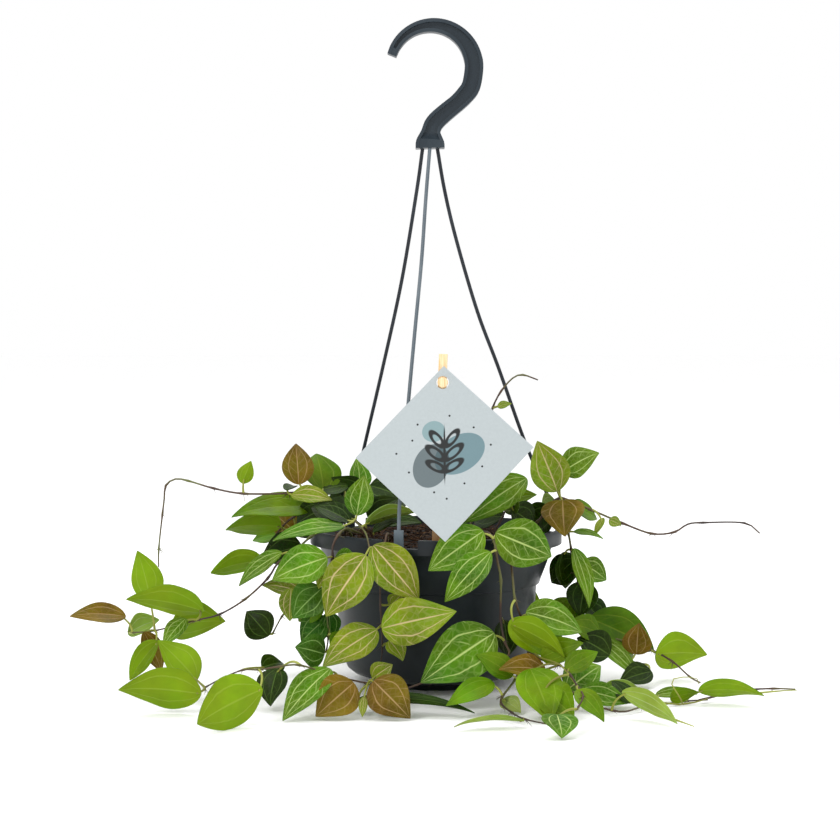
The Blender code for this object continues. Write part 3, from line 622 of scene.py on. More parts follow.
def cardMaterial(name, printed):
    # Matt coated board, offset printed: flat pale grey with soft teal patches and fine dark line work,
    # over fibres of about 1.4 mm, drawn coarse enough to show
    made, tree, shader = newMaterial(name, {"Roughness": 0.55})
    if not printed:
        shader.inputs["Base Color"].default_value = linear("#cdd3d4")
        return made
    uv = addNode(tree, "UVMap", {"uv_map": "printUv"})
    place = addNode(tree, "TexCoord").outputs["Object"]
    fibre = addNode(tree, "TexNoise", {}, {"Vector": place, "Scale": 700.0, "Detail": 3.0})
    colour = addNode(tree, "Mix", {"data_type": "RGBA"},
                     {0: fibre, 6: linear("#a3abad"), 7: linear("#adb5b7")}).outputs[2]

    def ellipse(centre, radii, angle):
        # 1 on the ellipse, less inside
        turned = addNode(tree, "Mapping", {"vector_type": "TEXTURE"}, {
            "Vector": uv, "Location": (centre[0] * 0.5 + 0.5, centre[1] * 0.5 + 0.5, 0),
            "Rotation": (0, 0, math.radians(angle)), "Scale": (radii[0] * 0.5, radii[1] * 0.5, 1)})
        return addNode(tree, "VectorMath", {"operation": "LENGTH"}, {0: turned}).outputs["Value"]

    for centre, radii, angle, tint in cardPrint["patches"]:
        inside = addNode(tree, "MapRange", {}, {"Value": ellipse(centre, radii, angle),
                                                **span(0.99, 1.01, 0.8)})
        colour = addNode(tree, "Mix", {"data_type": "RGBA"},
                         {0: inside, 6: colour, 7: linear(tint)}).outputs[2]
    marks = []
    for centre, radii, angle in cardPrint["outlines"]:
        away = addNode(tree, "Math", {"operation": "SUBTRACT"}, {0: ellipse(centre, radii, angle), 1: 1.0})
        off = addNode(tree, "Math", {"operation": "ABSOLUTE"}, {0: away})
        width = cardPrint["lineWidth"] / radii[1]
        marks.append(addNode(tree, "MapRange", {}, {"Value": off, **span(width * 0.6, width)}))
    dot = (cardPrint["dotSize"], cardPrint["dotSize"])
    spots = [(centre, dot, cardPrint["dotEdge"]) for centre in cardPrint["dots"]] + [cardPrint["stalk"]]
    for centre, radii, edge in spots:
        marks.append(addNode(tree, "MapRange", {}, {"Value": ellipse(centre, radii, 0), **span(*edge)}))
    ink = marks[0]
    for mark in marks[1:]:
        ink = addNode(tree, "Math", {"operation": "MAXIMUM"}, {0: ink, 1: mark})
    inked = addNode(tree, "Mix", {"data_type": "RGBA"}, {0: ink, 6: colour, 7: linear(cardPrint["ink"])})
    fill(tree, shader, {"Base Color": inked.outputs[2]})
    return made


birch = birchMaterial()
stickLow, stickHigh = Vector(label["stickBottom"]), Vector(label["stickTop"])
stickPiece = addBlock("labelStickPlaned", (-label["stickWidth"] / 2, -label["stickThick"] / 2, 0),
                      (label["stickWidth"] / 2, label["stickThick"] / 2, (stickHigh - stickLow).length),
                      label["stickEdge"])
lean = math.atan2(stickHigh.x - stickLow.x, stickHigh.z - stickLow.z)
stickPiece.data.transform(Matrix.Translation(stickLow * mm) @ Matrix.Rotation(lean, 4, "Y"))
pegX, pegZ = label["pegPlace"]
peg = addRod("labelPeg", label["pegRadius"], (pegX, stickHigh.y - label["pegLength"], pegZ),
             (pegX, stickHigh.y, pegZ), label["pegSides"], label["pegEdge"])
joinPieces(stickPiece, [peg])
finishPiece(stickPiece, "label_stick", [birch], 40)

top, left, bottom, right = (Vector(corner) for corner in label["cardCorners"])
bpy.ops.object.select_all(action="DESELECT")
bpy.ops.mesh.primitive_grid_add(x_subdivisions=label["cardSteps"], y_subdivisions=label["cardSteps"], size=1)
card = bpy.context.active_object
card.name = "labelCardPrinted"
card.data.uv_layers[0].name = "printUv"
cardPlaces = {}
for vert in card.data.vertices:
    across, along = vert.co.x + 0.5, 0.5 - vert.co.y
    cardPlaces[vert.index] = ((across - along) * 0.5 + 0.5, 1 - (across + along) * 0.5)
    vert.co = top.lerp(right, across).lerp(left.lerp(bottom, across), along) * mm
for loop in card.data.loops:
    card.data.uv_layers["printUv"].data[loop.index].uv = cardPlaces[loop.vertex_index]
applyModifier(card, "SOLIDIFY", {"thickness": label["cardThick"] * mm, "offset": 0.0})
front, back = label["holeReach"]
cut(card, [addRod("holeTool", label["cardHole"], (pegX, front, pegZ), (pegX, back, pegZ),
                  label["holeSides"])])
finishPiece(card, "label_card", [cardMaterial("coated board, printed", True),
                                        cardMaterial("coated board, plain", False)], 30)
for face in card.data.polygons:
    face.material_index = 0 if face.normal.y < -0.5 else 1
print("label")


leafForm = {
    "rows": 24,
    "columns": 12,
    "thickness": 0.5,
    "fold": 0.24,
    "bow": 0.05,
    "pillow": 0.02,  # rise of the blade between its veins, per width
    "wave": 0.022,  # rise and fall of the margin, per width
    "tipDrop": 0.045,
    "twist": 0.16,
    "shade": (0.85, 1.15),
    # The outline is a sine, pulled towards the base, filled out, and narrowed at the tip
    "pull": 0.75,
    "fullness": 0.78,
    "narrowing": 0.3,
    "crease": (0.012, 0.11),  # rounds the fold along the midrib
    "ribs": (7, 1.9),  # how many cross ribs, and their lean
    "seed": 21,
}
# Each kind has the blade's colour, its veins' colour, and how strongly the veins show. The dark kind is
# painted shade for leaves in shadow, and the lit kind is painted light for brightly lit leaves.
leafKinds = {
    "green": ("#477004", "#b6ca78", 0.9),
    "plain": ("#4a6e02", "#8a9a34", 0.35),
    # painted shade: a darkened blade for leaves in shadow
    "dark": ("#1a2e00", "#64803a", 0.5),
    "deep": ("#285206", "#92b464", 0.8),
    "young": ("#637a0c", "#ceb68a", 0.9),
    "bronze": ("#645408", "#b8986a", 0.6),
    # painted light: a brighter blade for lit leaves
    "lit": ("#587c02", "#94aa3c", 0.35),
    "pale": ("#7b9248", "#b6c68c", 0.45),
}
stemForm = {
    "radius": 0.75,
    "bareNodes": 27.0,  # distance between the nodes of a bare stretch
    "coarseStep": 16.0,
    "step": 3.5,
    "tipShare": 0.55,  # the radius at a stem's end
    "nodeSwell": 0.5,
    "nodeLength": 1.8,
    "nodeGap": 11.0,
    "stalkRadius": 0.62,
    "stalkTaper": (1.25, 0.45),
    "stalkInto": 2.5,
    "stalkSag": 0.18,
    "stalkRise": 0.06,
    "shootTaper": 0.7,
    "rootlets": 4,
    "rootletLength": (1.5, 5.0),
    "rootletRadii": (0.22, 0.17, 0.13, 0.06),
    "rootletDroop": (0.4, 0.35),
    "potTop": (96, 66),  # no rootlets above this height within this radius
    "holeBottom": 79.0,
    "holeTop": 92.0,
}
# Each stem has its root's place in the soil, its runs, and its leaves: base, tip, width, turn and kind.
# At a turn of 90 the upper face looks to the front, at 0 it lies flat, and below 0 the underside shows.
stems = {
    "stem_young_left": ((-54, -14), [
        [(-59, -22, 101), (-69, -24, 112), (-78, -26, 117), (-87, -27, 116), (-113, -30, 116),
         (-131, -28, 119), (-146, -24, 123), (-154, -22, 124), (-160, -20, 120), (-161, -20, 112),
         (-162, -21, 103), (-164, -23, 83), (-164, -24, 72)],
    ], [
        ((-81, -26, 121), (-83, -20, 145), 19, 80, "bronze"),
        ((-85, -30, 115), (-61, -34, 113), 15, 35, "young"),
        ((-67, -14, 116), (-72, 2, 138), 24, 62, "plain"),
        ((-53, -8, 119), (-74, -16, 115), 17, 35, "dark"),
        ((-88, -30, 118), (-84, -10, 119), 8, 20, "dark"),
        ((-114, -29, 122), (-109, -26, 135), 10, -75, "lit"),
    ]),
    "stem_left_fan": ((-54, 8), [
        [(-60, 8, 100), (-69, 6, 106), (-77, 4, 104), (-86, 2, 99), (-93, 0, 93), (-100, -2, 83),
         (-105, -4, 73)],
    ], [
        ((-75, -4, 106), (-120, -30, 104), 21, 42, "plain"),
        ((-93, -4, 94), (-125, -22, 95), 24, -50, "plain"),
        ((-104, -8, 74), (-134, -24, 69), 19, -50, "lit"),
        ((-81, 0, 82), (-105, -4, 75), 22, 75, "dark"),
        ((-85, 8, 89), (-100, 12, 101), 20, 60, "bronze"),
    ]),
    "stem_crown_left": ((-37, -42), [
        [(-41, -46, 97), (-47, -50, 102), (-43, -60, 99), (-40, -70, 96), (-38, -78, 89)],
    ], [
        ((-46, -50, 105), (-42, -46, 128), 17, 80, "green"),
        ((-41, -56, 101), (-12, -49, 108), 18, -32, "pale"),
        ((-50, -48, 101), (-71, -40, 110), 16, 35, "dark"),
        ((-53, -54, 99), (-94, -62, 93), 15, 30, "green"),
        ((-40, -83, 86), (-63, -81, 51), 28, 82, "young"),
        ((-36, -80, 91), (-10, -79, 60), 25, 82, "young"),
        ((-37, -43, 95), (-21, -46, 102), 11, 25, "dark"),
    ]),
    "stem_crown_back": ((-36, 0), [
        [(-38, 0, 98), (-41, 2, 106), (-46, 4, 113)],
    ], [
        ((-46, 4, 115), (-48, 10, 134), 15, 60, "green"),
        ((-40, 2, 118), (-19, -12, 112), 20, 55, "dark"),
        ((-32, -14, 96), (-9, -26, 99), 14, 25, "dark"),
    ]),
    "stem_left_runner": ((-50, -30), [
        [(-55, -36, 96), (-63, -40, 97), (-73, -42, 92), (-83, -44, 83), (-92, -46, 77), (-98, -46, 68),
         (-111, -46, 56), (-126, -45, 47), (-140, -42, 43), (-165, -36, 36), (-179, -30, 34)],
    ], [
        ((-90, -38, 82), (-117, -30, 62), 14, 40, "green"),
        ((-135, -46, 49), (-179, -52, 58), 24, -52, "lit"),
        ((-156, -30, 38), (-127, -8, 38), 26, -70, "lit"),
        ((-169, -24, 52), (-177, -18, 81), 20, -80, "lit"),
        ((-183, -28, 43), (-215, -34, 45), 16, 38, "bronze"),
        ((-183, -20, 32), (-166, -10, 39), 18, -45, "pale"),
        ((-171, -40, 36), (-161, -34, 11), 13, 60, "bronze"),
        ((-162, -44, 31), (-177, -60, 11), 15, -50, "lit"),
    ]),
    "stem_front_left": ((-42, -46), [
        [(-48, -57, 97), (-52, -64, 99), (-56, -71, 96), (-59, -75, 90), (-59, -75, 84), (-61, -71, 76),
         (-62, -68, 67), (-63, -67, 58), (-62, -66, 38), (-63, -68, 29)],
        [(-62, -67, 64), (-73, -46, 57), (-86, -20, 48), (-92, -12, 41), (-98, -8, 30)],
    ], [
        ((-62, -77, 84), (-93, -81, 72), 24, 65, "green"),
        ((-58, -71, 82), (-45, -67, 80), 14, 70, "green"),
        ((-83, -66, 65), (-84, -66, 46), 13, 80, "young"),
        ((-65, -72, 66), (-82, -74, 49), 22, 70, "deep"),
        ((-63, -62, 47), (-78, -60, 33), 20, 60, "deep"),
        ((-64, -70, 28), (-80, -76, 33), 20, 70, "deep"),
        ((-62, -62, 51), (-61, -60, 34), 13, 70, "deep"),
        ((-63, -73, 74), (-67, -75, 66), 8, 60, "young"),
        ((-100, -11, 29), (-114, -4, 43), 20, 80, "dark"),
        ((-80, -36, 59), (-102, -34, 63), 14, 40, "young"),
    ]),
    "stem_front_centre": ((-25, -55), [
        [(-28, -66, 96), (-29, -76, 94), (-31, -79, 80), (-32, -76, 68), (-32, -75, 57), (-31, -73, 33),
         (-32, -74, 23)],
    ], [
        ((-34, -78, 43), (-64, -92, 25), 22, 62, "young"),
        ((-31, -80, 44), (10, -96, 56), 27, 72, "young"),
        ((-26, -70, 55), (-20, -68, 62), 10, 60, "young"),
        ((-27, -74, 36), (-19, -80, 26), 13, 50, "young"),
    ]),
    "stem_crown_right": ((34, -28), [
        [(38, -27, 100), (44, -26, 112), (50, -27, 121)],
    ], [
        ((53, -30, 125), (15, -40, 100), 22, 60, "green"),
    ]),
    "stem_front_runner": ((20, -50), [
        [(25, -58, 96), (29, -68, 97), (32, -76, 94), (33, -80, 88), (34, -80, 82), (36, -78, 71),
         (36, -76, 49), (38, -82, 37), (40, -91, 31), (28, -92, 26), (14, -92, 22), (-1, -92, 18),
         (-21, -94, 12), (-38, -98, 16), (-55, -104, 21), (-75, -114, 29), (-86, -124, 30),
         (-97, -122, 28), (-107, -112, 26), (-119, -104, 20), (-129, -99, 14)],
    ], [
        ((26, -78, 99), (-5, -81, 77), 24, 80, "green"), ((33, -77, 98), (66, -65, 83), 28, 82, "green"),
        ((30, -86, 88), (4, -86, 60), 19, 65, "green"), ((32, -83, 42), (-9, -99, 17), 32, 75, "green"),
        ((38, -68, 47), (40, -71, 26), 18, 60, "dark"),
        ((-59, -108, 26), (-84, -128, 2), 20, 55, "green"),
        ((-46, -112, 19), (-66, -124, 3), 24, 80, "bronze"),
        ((-35, -112, 20), (-15, -124, 2), 24, 78, "bronze"),
        ((-36, -92, 18), (-25, -94, 26), 13, 75, "young"),
        ((-40, -120, 13), (-41, -122, 2), 5, 80, "young"),
        ((-94, -136, 20), (-127, -165, 7), 29, -78, "lit"),
        ((-89, -90, 23), (-93, -100, 4), 20, 60, "dark"),
        ((-130, -107, 12), (-175, -111, 16), 25, -78, "lit"),
        ((-134, -94, 17), (-157, -78, 37), 21, -80, "lit"),
        ((-98, -88, 23), (-87, -70, 23), 14, 40, "dark"),
        ((-46, -100, 7), (20, -118, 6), 10, 25, "dark"),
    ]),
    "stem_right_runner": ((33, -52), [
        [(36, -59, 96), (39, -65, 96), (41, -69, 91), (42, -69, 82), (43, -75, 70), (44, -79, 60),
         (48, -76, 49), (50, -74, 45), (52, -76, 37), (55, -80, 26), (62, -88, 19), (70, -92, 14),
         (78, -96, 9), (85, -100, 5), (96, -108, 3), (104, -106, 2), (115, -96, 3), (126, -86, 2),
         (141, -76, 2), (154, -72, 2)],
        [(50, -75, 41), (50, -80, 33), (58, -92, 29), (67, -106, 28), (72, -120, 25), (75, -134, 21),
         (77, -147, 18), (73, -156, 13)],
        [(53, -77, 33), (44, -92, 18), (36, -104, 10), (35, -116, 8), (40, -130, 6), (46, -142, 5),
         (57, -150, 4)],
        [(149, -73, 2), (166, -64, 4), (181, -62, 6), (193, -64, 7), (205, -66, 7)],
    ], [
        ((50, -80, 53), (83, -70, 41), 24, 45, "green"), ((41, -82, 49), (64, -88, 29), 18, 70, "lit"),
        ((41, -96, 49), (71, -106, 33), 22, -50, "lit"),
        ((60, -102, 24), (34, -106, 26), 18, 40, "bronze"),
        ((51, -109, 26), (61, -133, 2), 26, 70, "lit"), ((56, -120, 17), (74, -126, 3), 22, 60, "lit"),
        ((72, -92, 11), (92, -84, 24), 22, 70, "green"),
        ((62, -161, 11), (64, -175, 2), 20, 70, "green"),
        ((80, -96, 12), (107, -96, 5), 14, 60, "green"),
        ((101, -113, 14), (129, -141, 3), 14, -60, "pale"),
        ((92, -84, 10), (117, -84, 8), 14, -50, "pale"), ((148, -76, 8), (184, -84, 8), 15, -55, "lit"),
        ((124, -74, 5), (150, -62, 4), 8, 40, "green"), ((31, -100, 17), (5, -122, 9), 14, 50, "lit"),
        ((36, -99, 7), (46, -107, 2), 12, 45, "pale"), ((46, -143, 4), (8, -151, 4), 8, -30, "pale"),
    ]),
    "stem_right_young": ((52, -10), [
        [(60, -11, 97), (68, -12, 107), (74, -12, 112), (92, -13, 105), (111, -14, 97), (128, -16, 91),
         (141, -18, 92), (149, -20, 97), (158, -21, 98), (182, -23, 98), (191, -24, 92)],
    ], [
        ((72, -14, 116), (60, -16, 146), 24, 80, "young"),
        ((76, -5, 127), (97, -9, 139), 20, 60, "green"),
        ((75, -17, 111), (75, -36, 92), 26, 82, "bronze"), ((72, 2, 109), (64, 6, 104), 14, 60, "pale"),
        ((100, -14, 100), (94, -16, 90), 5, 50, "young"),
        ((103, -14, 99), (110, -16, 96), 7, 70, "young"),
    ]),
    "stem_right_fall": ((58, 8), [
        [(68, 4, 95), (76, -4, 97), (79, -8, 91), (81, -9, 80), (84, -6, 66), (88, -2, 49), (90, 0, 38),
         (99, 0, 26), (107, -2, 20), (117, -4, 13), (126, -6, 11)],
        [(93, 0, 33), (103, 1, 27), (114, 0, 24), (130, -2, 19), (142, -8, 13), (150, -26, 7),
         (155, -34, 5)],
    ], [
        ((82, -14, 82), (92, -17, 47), 13, 60, "green"), ((77, 2, 78), (79, 6, 55), 18, 60, "dark"),
        ((88, 3, 71), (104, 9, 60), 16, 55, "green"), ((90, -4, 61), (86, -8, 40), 20, 70, "dark"),
        ((84, 14, 48), (76, 24, 30), 20, 70, "lit"), ((93, 2, 38), (134, 10, 17), 28, 72, "plain"),
        ((120, -12, 18), (121, -14, 37), 18, 75, "bronze"),
        ((132, -6, 17), (164, 4, 16), 26, -72, "lit"), ((95, -8, 28), (122, -26, 5), 12, 55, "green"),
        ((103, -20, 19), (84, -16, 29), 22, 60, "dark"), ((128, -20, 9), (108, -30, 5), 16, 50, "dark"),
        ((82, -14, 92), (99, -20, 89), 7, 30, "green"),
    ]),
    "stem_curl": ((20, -8), [
        [(24, -4, 106), (29, 0, 128), (32, 0, 154), (34, 0, 165), (39, 0, 175), (46, -1, 183),
         (52, -2, 185), (61, -3, 182)],
    ], [
        ((37, -1, 166), (45, -5, 168), 5, 60, "young"), ((27, -1, 128), (18, -12, 114), 16, 60, "dark"),
    ]),
}
# Small leaves that fill the crown and the tangle at the right, on the same stems; most are of the dark kind,
# painted shade that stands in for the shadowed mass behind
fillLeaves = {
    "stem_crown_left": [
        ((-48, -42, 102), (-74, -24, 108), 21, 45, "dark"),
        ((-40, -48, 104), (-22, -38, 114), 15, 60, "dark"),
    ],
    "stem_crown_back": [
        ((-44, 6, 106), (-72, 16, 102), 22, 55, "dark"), ((-38, 6, 104), (-16, 10, 108), 20, 50, "dark"),
        ((-44, 0, 110), (-62, -10, 124), 17, 60, "dark"),
    ],
    "stem_young_left": [
        ((-66, -18, 106), (-84, -6, 96), 19, 60, "dark"),
    ],
    "stem_left_fan": [
        ((-70, 10, 100), (-86, 20, 86), 20, 60, "dark"), ((-90, 6, 88), (-112, 14, 84), 17, 30, "plain"),
    ],
    "stem_crown_right": [
        ((44, -22, 106), (60, -10, 94), 19, 60, "dark"), ((40, -24, 102), (22, -8, 98), 17, 45, "dark"),
        ((47, -24, 116), (40, -6, 104), 18, 65, "green"),
    ],
    "stem_right_young": [
        ((70, -6, 104), (56, 6, 92), 20, 65, "dark"), ((80, -10, 106), (98, 4, 98), 15, 35, "plain"),
    ],
    "stem_right_fall": [
        ((84, -2, 74), (70, 10, 58), 19, 60, "dark"), ((90, 4, 46), (104, 18, 32), 18, 60, "dark"),
        ((106, 4, 22), (122, 18, 12), 16, 50, "plain"), ((98, -6, 30), (78, -18, 38), 17, 55, "plain"),
    ],
    "stem_right_runner": [
        ((56, -74, 34), (78, -62, 26), 18, 60, "plain"), ((58, -94, 30), (80, -104, 40), 15, 60, "lit"),
        ((70, -114, 26), (88, -110, 36), 13, 55, "plain"),
        ((42, -96, 20), (22, -94, 32), 15, 60, "plain"), ((74, -140, 20), (88, -152, 6), 13, 55, "lit"),
        ((84, -92, 8), (70, -80, 18), 14, 50, "dark"), ((132, -78, 4), (146, -90, 10), 9, 60, "plain"),
        ((108, -98, 5), (98, -86, 16), 11, 60, "dark"),
    ],
    "stem_front_left": [
        ((-64, -62, 60), (-80, -54, 44), 18, 60, "plain"),
        ((-60, -70, 40), (-50, -64, 24), 13, 60, "plain"),
    ],
    "stem_left_runner": [
        ((-146, -42, 44), (-158, -54, 30), 12, 60, "green"),
    ],
}
# Thin young shoots, curls and drip tips on the same stem
youngShoots = {
    "stem_right_runner": [
        [(50, -80, 33), (54, -86, 35), (59, -88, 36), (68, -92, 36), (76, -96, 33), (81, -98, 28)],
        [(53, -78, 32), (57, -100, 31), (67, -112, 29), (74, -120, 21), (79, -122, 14), (76, -124, 6)],
        [(50, -80, 33), (53, -86, 35), (57, -90, 41), (58, -92, 49)],
        [(127, -139, 4), (132, -144, 3), (136, -147, 2)],
        [(181, -83, 8), (194, -82, 9), (203, -80, 9)],
        [(126, -86, 3), (131, -94, 4), (136, -100, 5), (133, -100, 11), (130, -100, 16), (131, -100, 19),
         (136, -100, 20), (140, -100, 20), (144, -100, 19), (145, -100, 16)],
        [(136, -100, 5), (143, -100, 6), (150, -100, 8)],
    ],
}
# The stems behind the pot, tangled in one: each has its angle from the back, towards +X, and its reach
backStems = {
    "stems": [(-25, 138), (2, 152), (30, 140)],
    "seed": 11,
    "root": 50.0,
    "path": [(62, 96), (72, 99), (80, 95), (84, 84), (85, 60), (88, 36), (96, 16), (108, 5)],
    "leaves": [(75, 102), (87, 78), (91, 46), (111, 10)],
    "leafLength": (22, 30),
    "leafShape": 0.62,
    "turn": 65,
    "spread": 0.8,
    "outward": (0.2, 0.5),
    "slopes": [(0.1, 0.25), (-0.9, -0.5), (-0.9, -0.5), (0.1, 0.25)],
    "stalk": 4,
    "endHeight": 3.0,
    "kinds": ["green", "dark", "green", "young", "lit", "green"],
}


def leafMaterial(name, underside):
    # A waxy leaf skin: satin green with a netted pattern of paler veins, duller and lighter below.
    # Its colour is mottled about every 17 mm and drifts over 30 mm, and its veins stray over 9 mm.
    made, tree, shader = newMaterial(name, {
        "IOR": 1.45, "Specular IOR Level": 0.12, "Subsurface Weight": 0.06,
        "Subsurface Radius": (0.4, 1.0, 0.1), "Subsurface Scale": 0.002})
    place = addNode(tree, "TexCoord").outputs["Object"]
    uv = addNode(tree, "UVMap", {"uv_map": "leafUv"})
    wobble = addNode(tree, "TexNoise", {}, {"Vector": place, "Scale": 110.0, "Detail": 2.0})
    centred = addNode(tree, "VectorMath", {"operation": "SUBTRACT"},
                      {0: wobble.outputs["Color"], 1: (0.5, 0.5, 0.5)})
    bent = addNode(tree, "VectorMath", {"operation": "MULTIPLY_ADD"},
                   {0: centred, 1: (0.07, 0.09, 0.0), 2: uv.outputs[0]})
    split = addNode(tree, "SeparateXYZ", {}, {"Vector": bent})
    along = split.outputs["X"]
    straight = addNode(tree, "SeparateXYZ", {}, {"Vector": uv.outputs[0]})
    middle = addNode(tree, "Math", {"operation": "MULTIPLY_ADD"},
                     {0: straight.outputs["Y"], 1: 2.0, 2: -1.0})
    offMiddle = addNode(tree, "Math", {"operation": "ABSOLUTE"}, {0: middle})
    midrib = addNode(tree, "MapRange", {}, {"Value": offMiddle, **span(0.016, 0.055)})
    signed = addNode(tree, "Math", {"operation": "MULTIPLY_ADD"}, {0: split.outputs["Y"], 1: 2.0, 2: -1.0})
    across = addNode(tree, "Math", {"operation": "ABSOLUTE"}, {0: signed})
    # Two arched veins run from base to tip beside the midrib
    half = addNode(tree, "Math", {"operation": "MULTIPLY"}, {0: along, 1: math.pi})
    arch = addNode(tree, "Math", {"operation": "SINE"}, {0: half})
    line = addNode(tree, "Math", {"operation": "MULTIPLY_ADD"}, {0: arch, 1: 0.2, 2: 0.4})
    away = addNode(tree, "Math", {"operation": "SUBTRACT"}, {0: across, 1: line})
    offLine = addNode(tree, "Math", {"operation": "ABSOLUTE"}, {0: away})
    arched = addNode(tree, "MapRange", {}, {"Value": offLine, **span(0.01, 0.045, 0.85, 0.0)})
    # Cross veins lean towards the tip, five or six to a leaf, about 7 mm apart, and fade here and there
    lean = addNode(tree, "Math", {"operation": "MULTIPLY"}, {0: across, 1: -1.9})
    count = addNode(tree, "Math", {"operation": "MULTIPLY_ADD"}, {0: along, 1: 5.5, 2: lean})
    share = addNode(tree, "Math", {"operation": "FRACT"}, {0: count})
    shifted = addNode(tree, "Math", {"operation": "SUBTRACT"}, {0: share, 1: 0.5})
    offCross = addNode(tree, "Math", {"operation": "ABSOLUTE"}, {0: shifted})
    crossed = addNode(tree, "MapRange", {}, {"Value": offCross, **span(0.02, 0.08)})
    faded = addNode(tree, "MapRange", {}, {"Value": wobble, **span(0.42, 0.6, 0.05, 0.5)})
    crossed = addNode(tree, "Math", {"operation": "MULTIPLY"}, {0: crossed, 1: faded})
    # A fine net fills the fields between them
    net = addNode(tree, "VectorMath", {"operation": "MULTIPLY"}, {0: bent, 1: (12.0, 9.0, 1.0)})
    cells = addNode(tree, "TexVoronoi", {"feature": "DISTANCE_TO_EDGE"}, {"Vector": net, "Scale": 1.0})
    netted = addNode(tree, "MapRange", {}, {"Value": cells, **span(0.02, 0.13, 0.13, 0.0)})
    vein = midrib
    for other in ((arched,) if underside else (arched, crossed, netted)):
        vein = addNode(tree, "Math", {"operation": "MAXIMUM"}, {0: vein, 1: other})
    veinTint = addNode(tree, "Attribute", {"attribute_name": "veinColour"})
    bladeTint = addNode(tree, "Attribute", {"attribute_name": "bladeColour"})
    shown = addNode(tree, "Math", {"operation": "MULTIPLY"},
                    {0: vein, 1: 0.45 if underside else veinTint.outputs["Alpha"]})
    patch = addNode(tree, "TexNoise", {}, {"Vector": place, "Scale": 60.0, "Detail": 4.0})
    value = addNode(tree, "MapRange", {}, {"Value": patch, **span(0.3, 0.7, 0.64, 1.34)})
    # The hue drifts slowly between yellow and green along each blade
    drift = addNode(tree, "TexNoise", {}, {"Vector": place, "Scale": 34.0, "Detail": 2.0})
    hue = addNode(tree, "MapRange", {}, {"Value": drift, **span(0.35, 0.65, 0.475, 0.51)})
    blade = addNode(tree, "HueSaturation", {}, {"Color": bladeTint.outputs["Color"], "Hue": hue,
                                                "Value": value})
    if underside:
        blade = addNode(tree, "Mix", {"data_type": "RGBA"},
                        {0: 0.4, 6: blade.outputs[0], 7: linear("#8ca61c")}).outputs[2]
    tint = addNode(tree, "Mix", {"data_type": "RGBA"},
                   {0: shown, 6: blade, 7: veinTint.outputs["Color"]})
    smooth, rough = (0.5, 0.62) if underside else (0.32, 0.46)
    skin = addNode(tree, "MapRange", {}, {"Value": patch, **span(0.3, 0.7, smooth, rough)})
    bump = addNode(tree, "Bump", {"invert": not underside},
                   {"Height": vein, "Strength": 0.4, "Distance": 0.0005})
    fill(tree, shader, {"Base Color": tint.outputs[2], "Roughness": skin, "Normal": bump})
    return made


def stemMaterial(name, old, middle, fresh):
    # Living bark, ridged about every 1 mm: dull and dry where old, greener where young, over 36 mm
    made, tree, shader = newMaterial(name, {"Roughness": 0.6})
    place = addNode(tree, "TexCoord").outputs["Object"]
    age = addNode(tree, "TexNoise", {}, {"Vector": place, "Scale": 28.0, "Detail": 3.0})
    tint = addNode(tree, "ValToRGB", {}, {"Fac": age})
    setRamp(tint, [(0.38, old), (0.66, fresh), (0.52, middle)])
    ridges = addNode(tree, "TexNoise", {}, {"Vector": place, "Scale": 900.0, "Detail": 3.0})
    bump = addNode(tree, "Bump", {}, {"Height": ridges, "Strength": 0.3, "Distance": 0.0003})
    fill(tree, shader, {"Base Color": tint, "Normal": bump})
    return made


upperSkin = leafMaterial("waxy leaf, upper", False)
lowerSkin = leafMaterial("waxy leaf, lower", True)
stemBark = stemMaterial("stem bark, living", "#2b1910", "#47301c", "#5a5f2a")
stalkSkin = stemMaterial("leaf stalk, living", "#6f7022", "#8a9030", "#a9ae56")

bpy.ops.object.select_all(action="DESELECT")
bpy.ops.mesh.primitive_grid_add(x_subdivisions=leafForm["rows"], y_subdivisions=leafForm["columns"], size=1)
leafModel = bpy.context.active_object
leafModel.data.uv_layers[0].name = "leafUv"
leafModel.data.attributes.new("bladeColour", "FLOAT_COLOR", "POINT")
leafModel.data.attributes.new("veinColour", "FLOAT_COLOR", "POINT")
# Rows lie closer at the base and the tip, where the outline turns fastest
leafPlaces = [(0.5 - 0.5 * math.cos(math.pi * (vert.co.x + 0.5)), vert.co.y * 2)
              for vert in leafModel.data.vertices]
for loop in leafModel.data.loops:
    along, across = leafPlaces[loop.vertex_index]
    leafModel.data.uv_layers["leafUv"].data[loop.index].uv = (along, (across + 1) / 2)


def leafAxes(base, tip, turn, towards):
    axis = (Vector(tip) - Vector(base)).normalized()
    front = Vector(towards)
    front = (front - axis * front.dot(axis)).normalized()
    up = axis.cross(front)
    if up.z < 0:
        up = -up
    normal = front * math.sin(math.radians(turn)) + up * math.cos(math.radians(turn))
    return (Vector(tip) - Vector(base)).length, axis, normal.cross(axis), normal


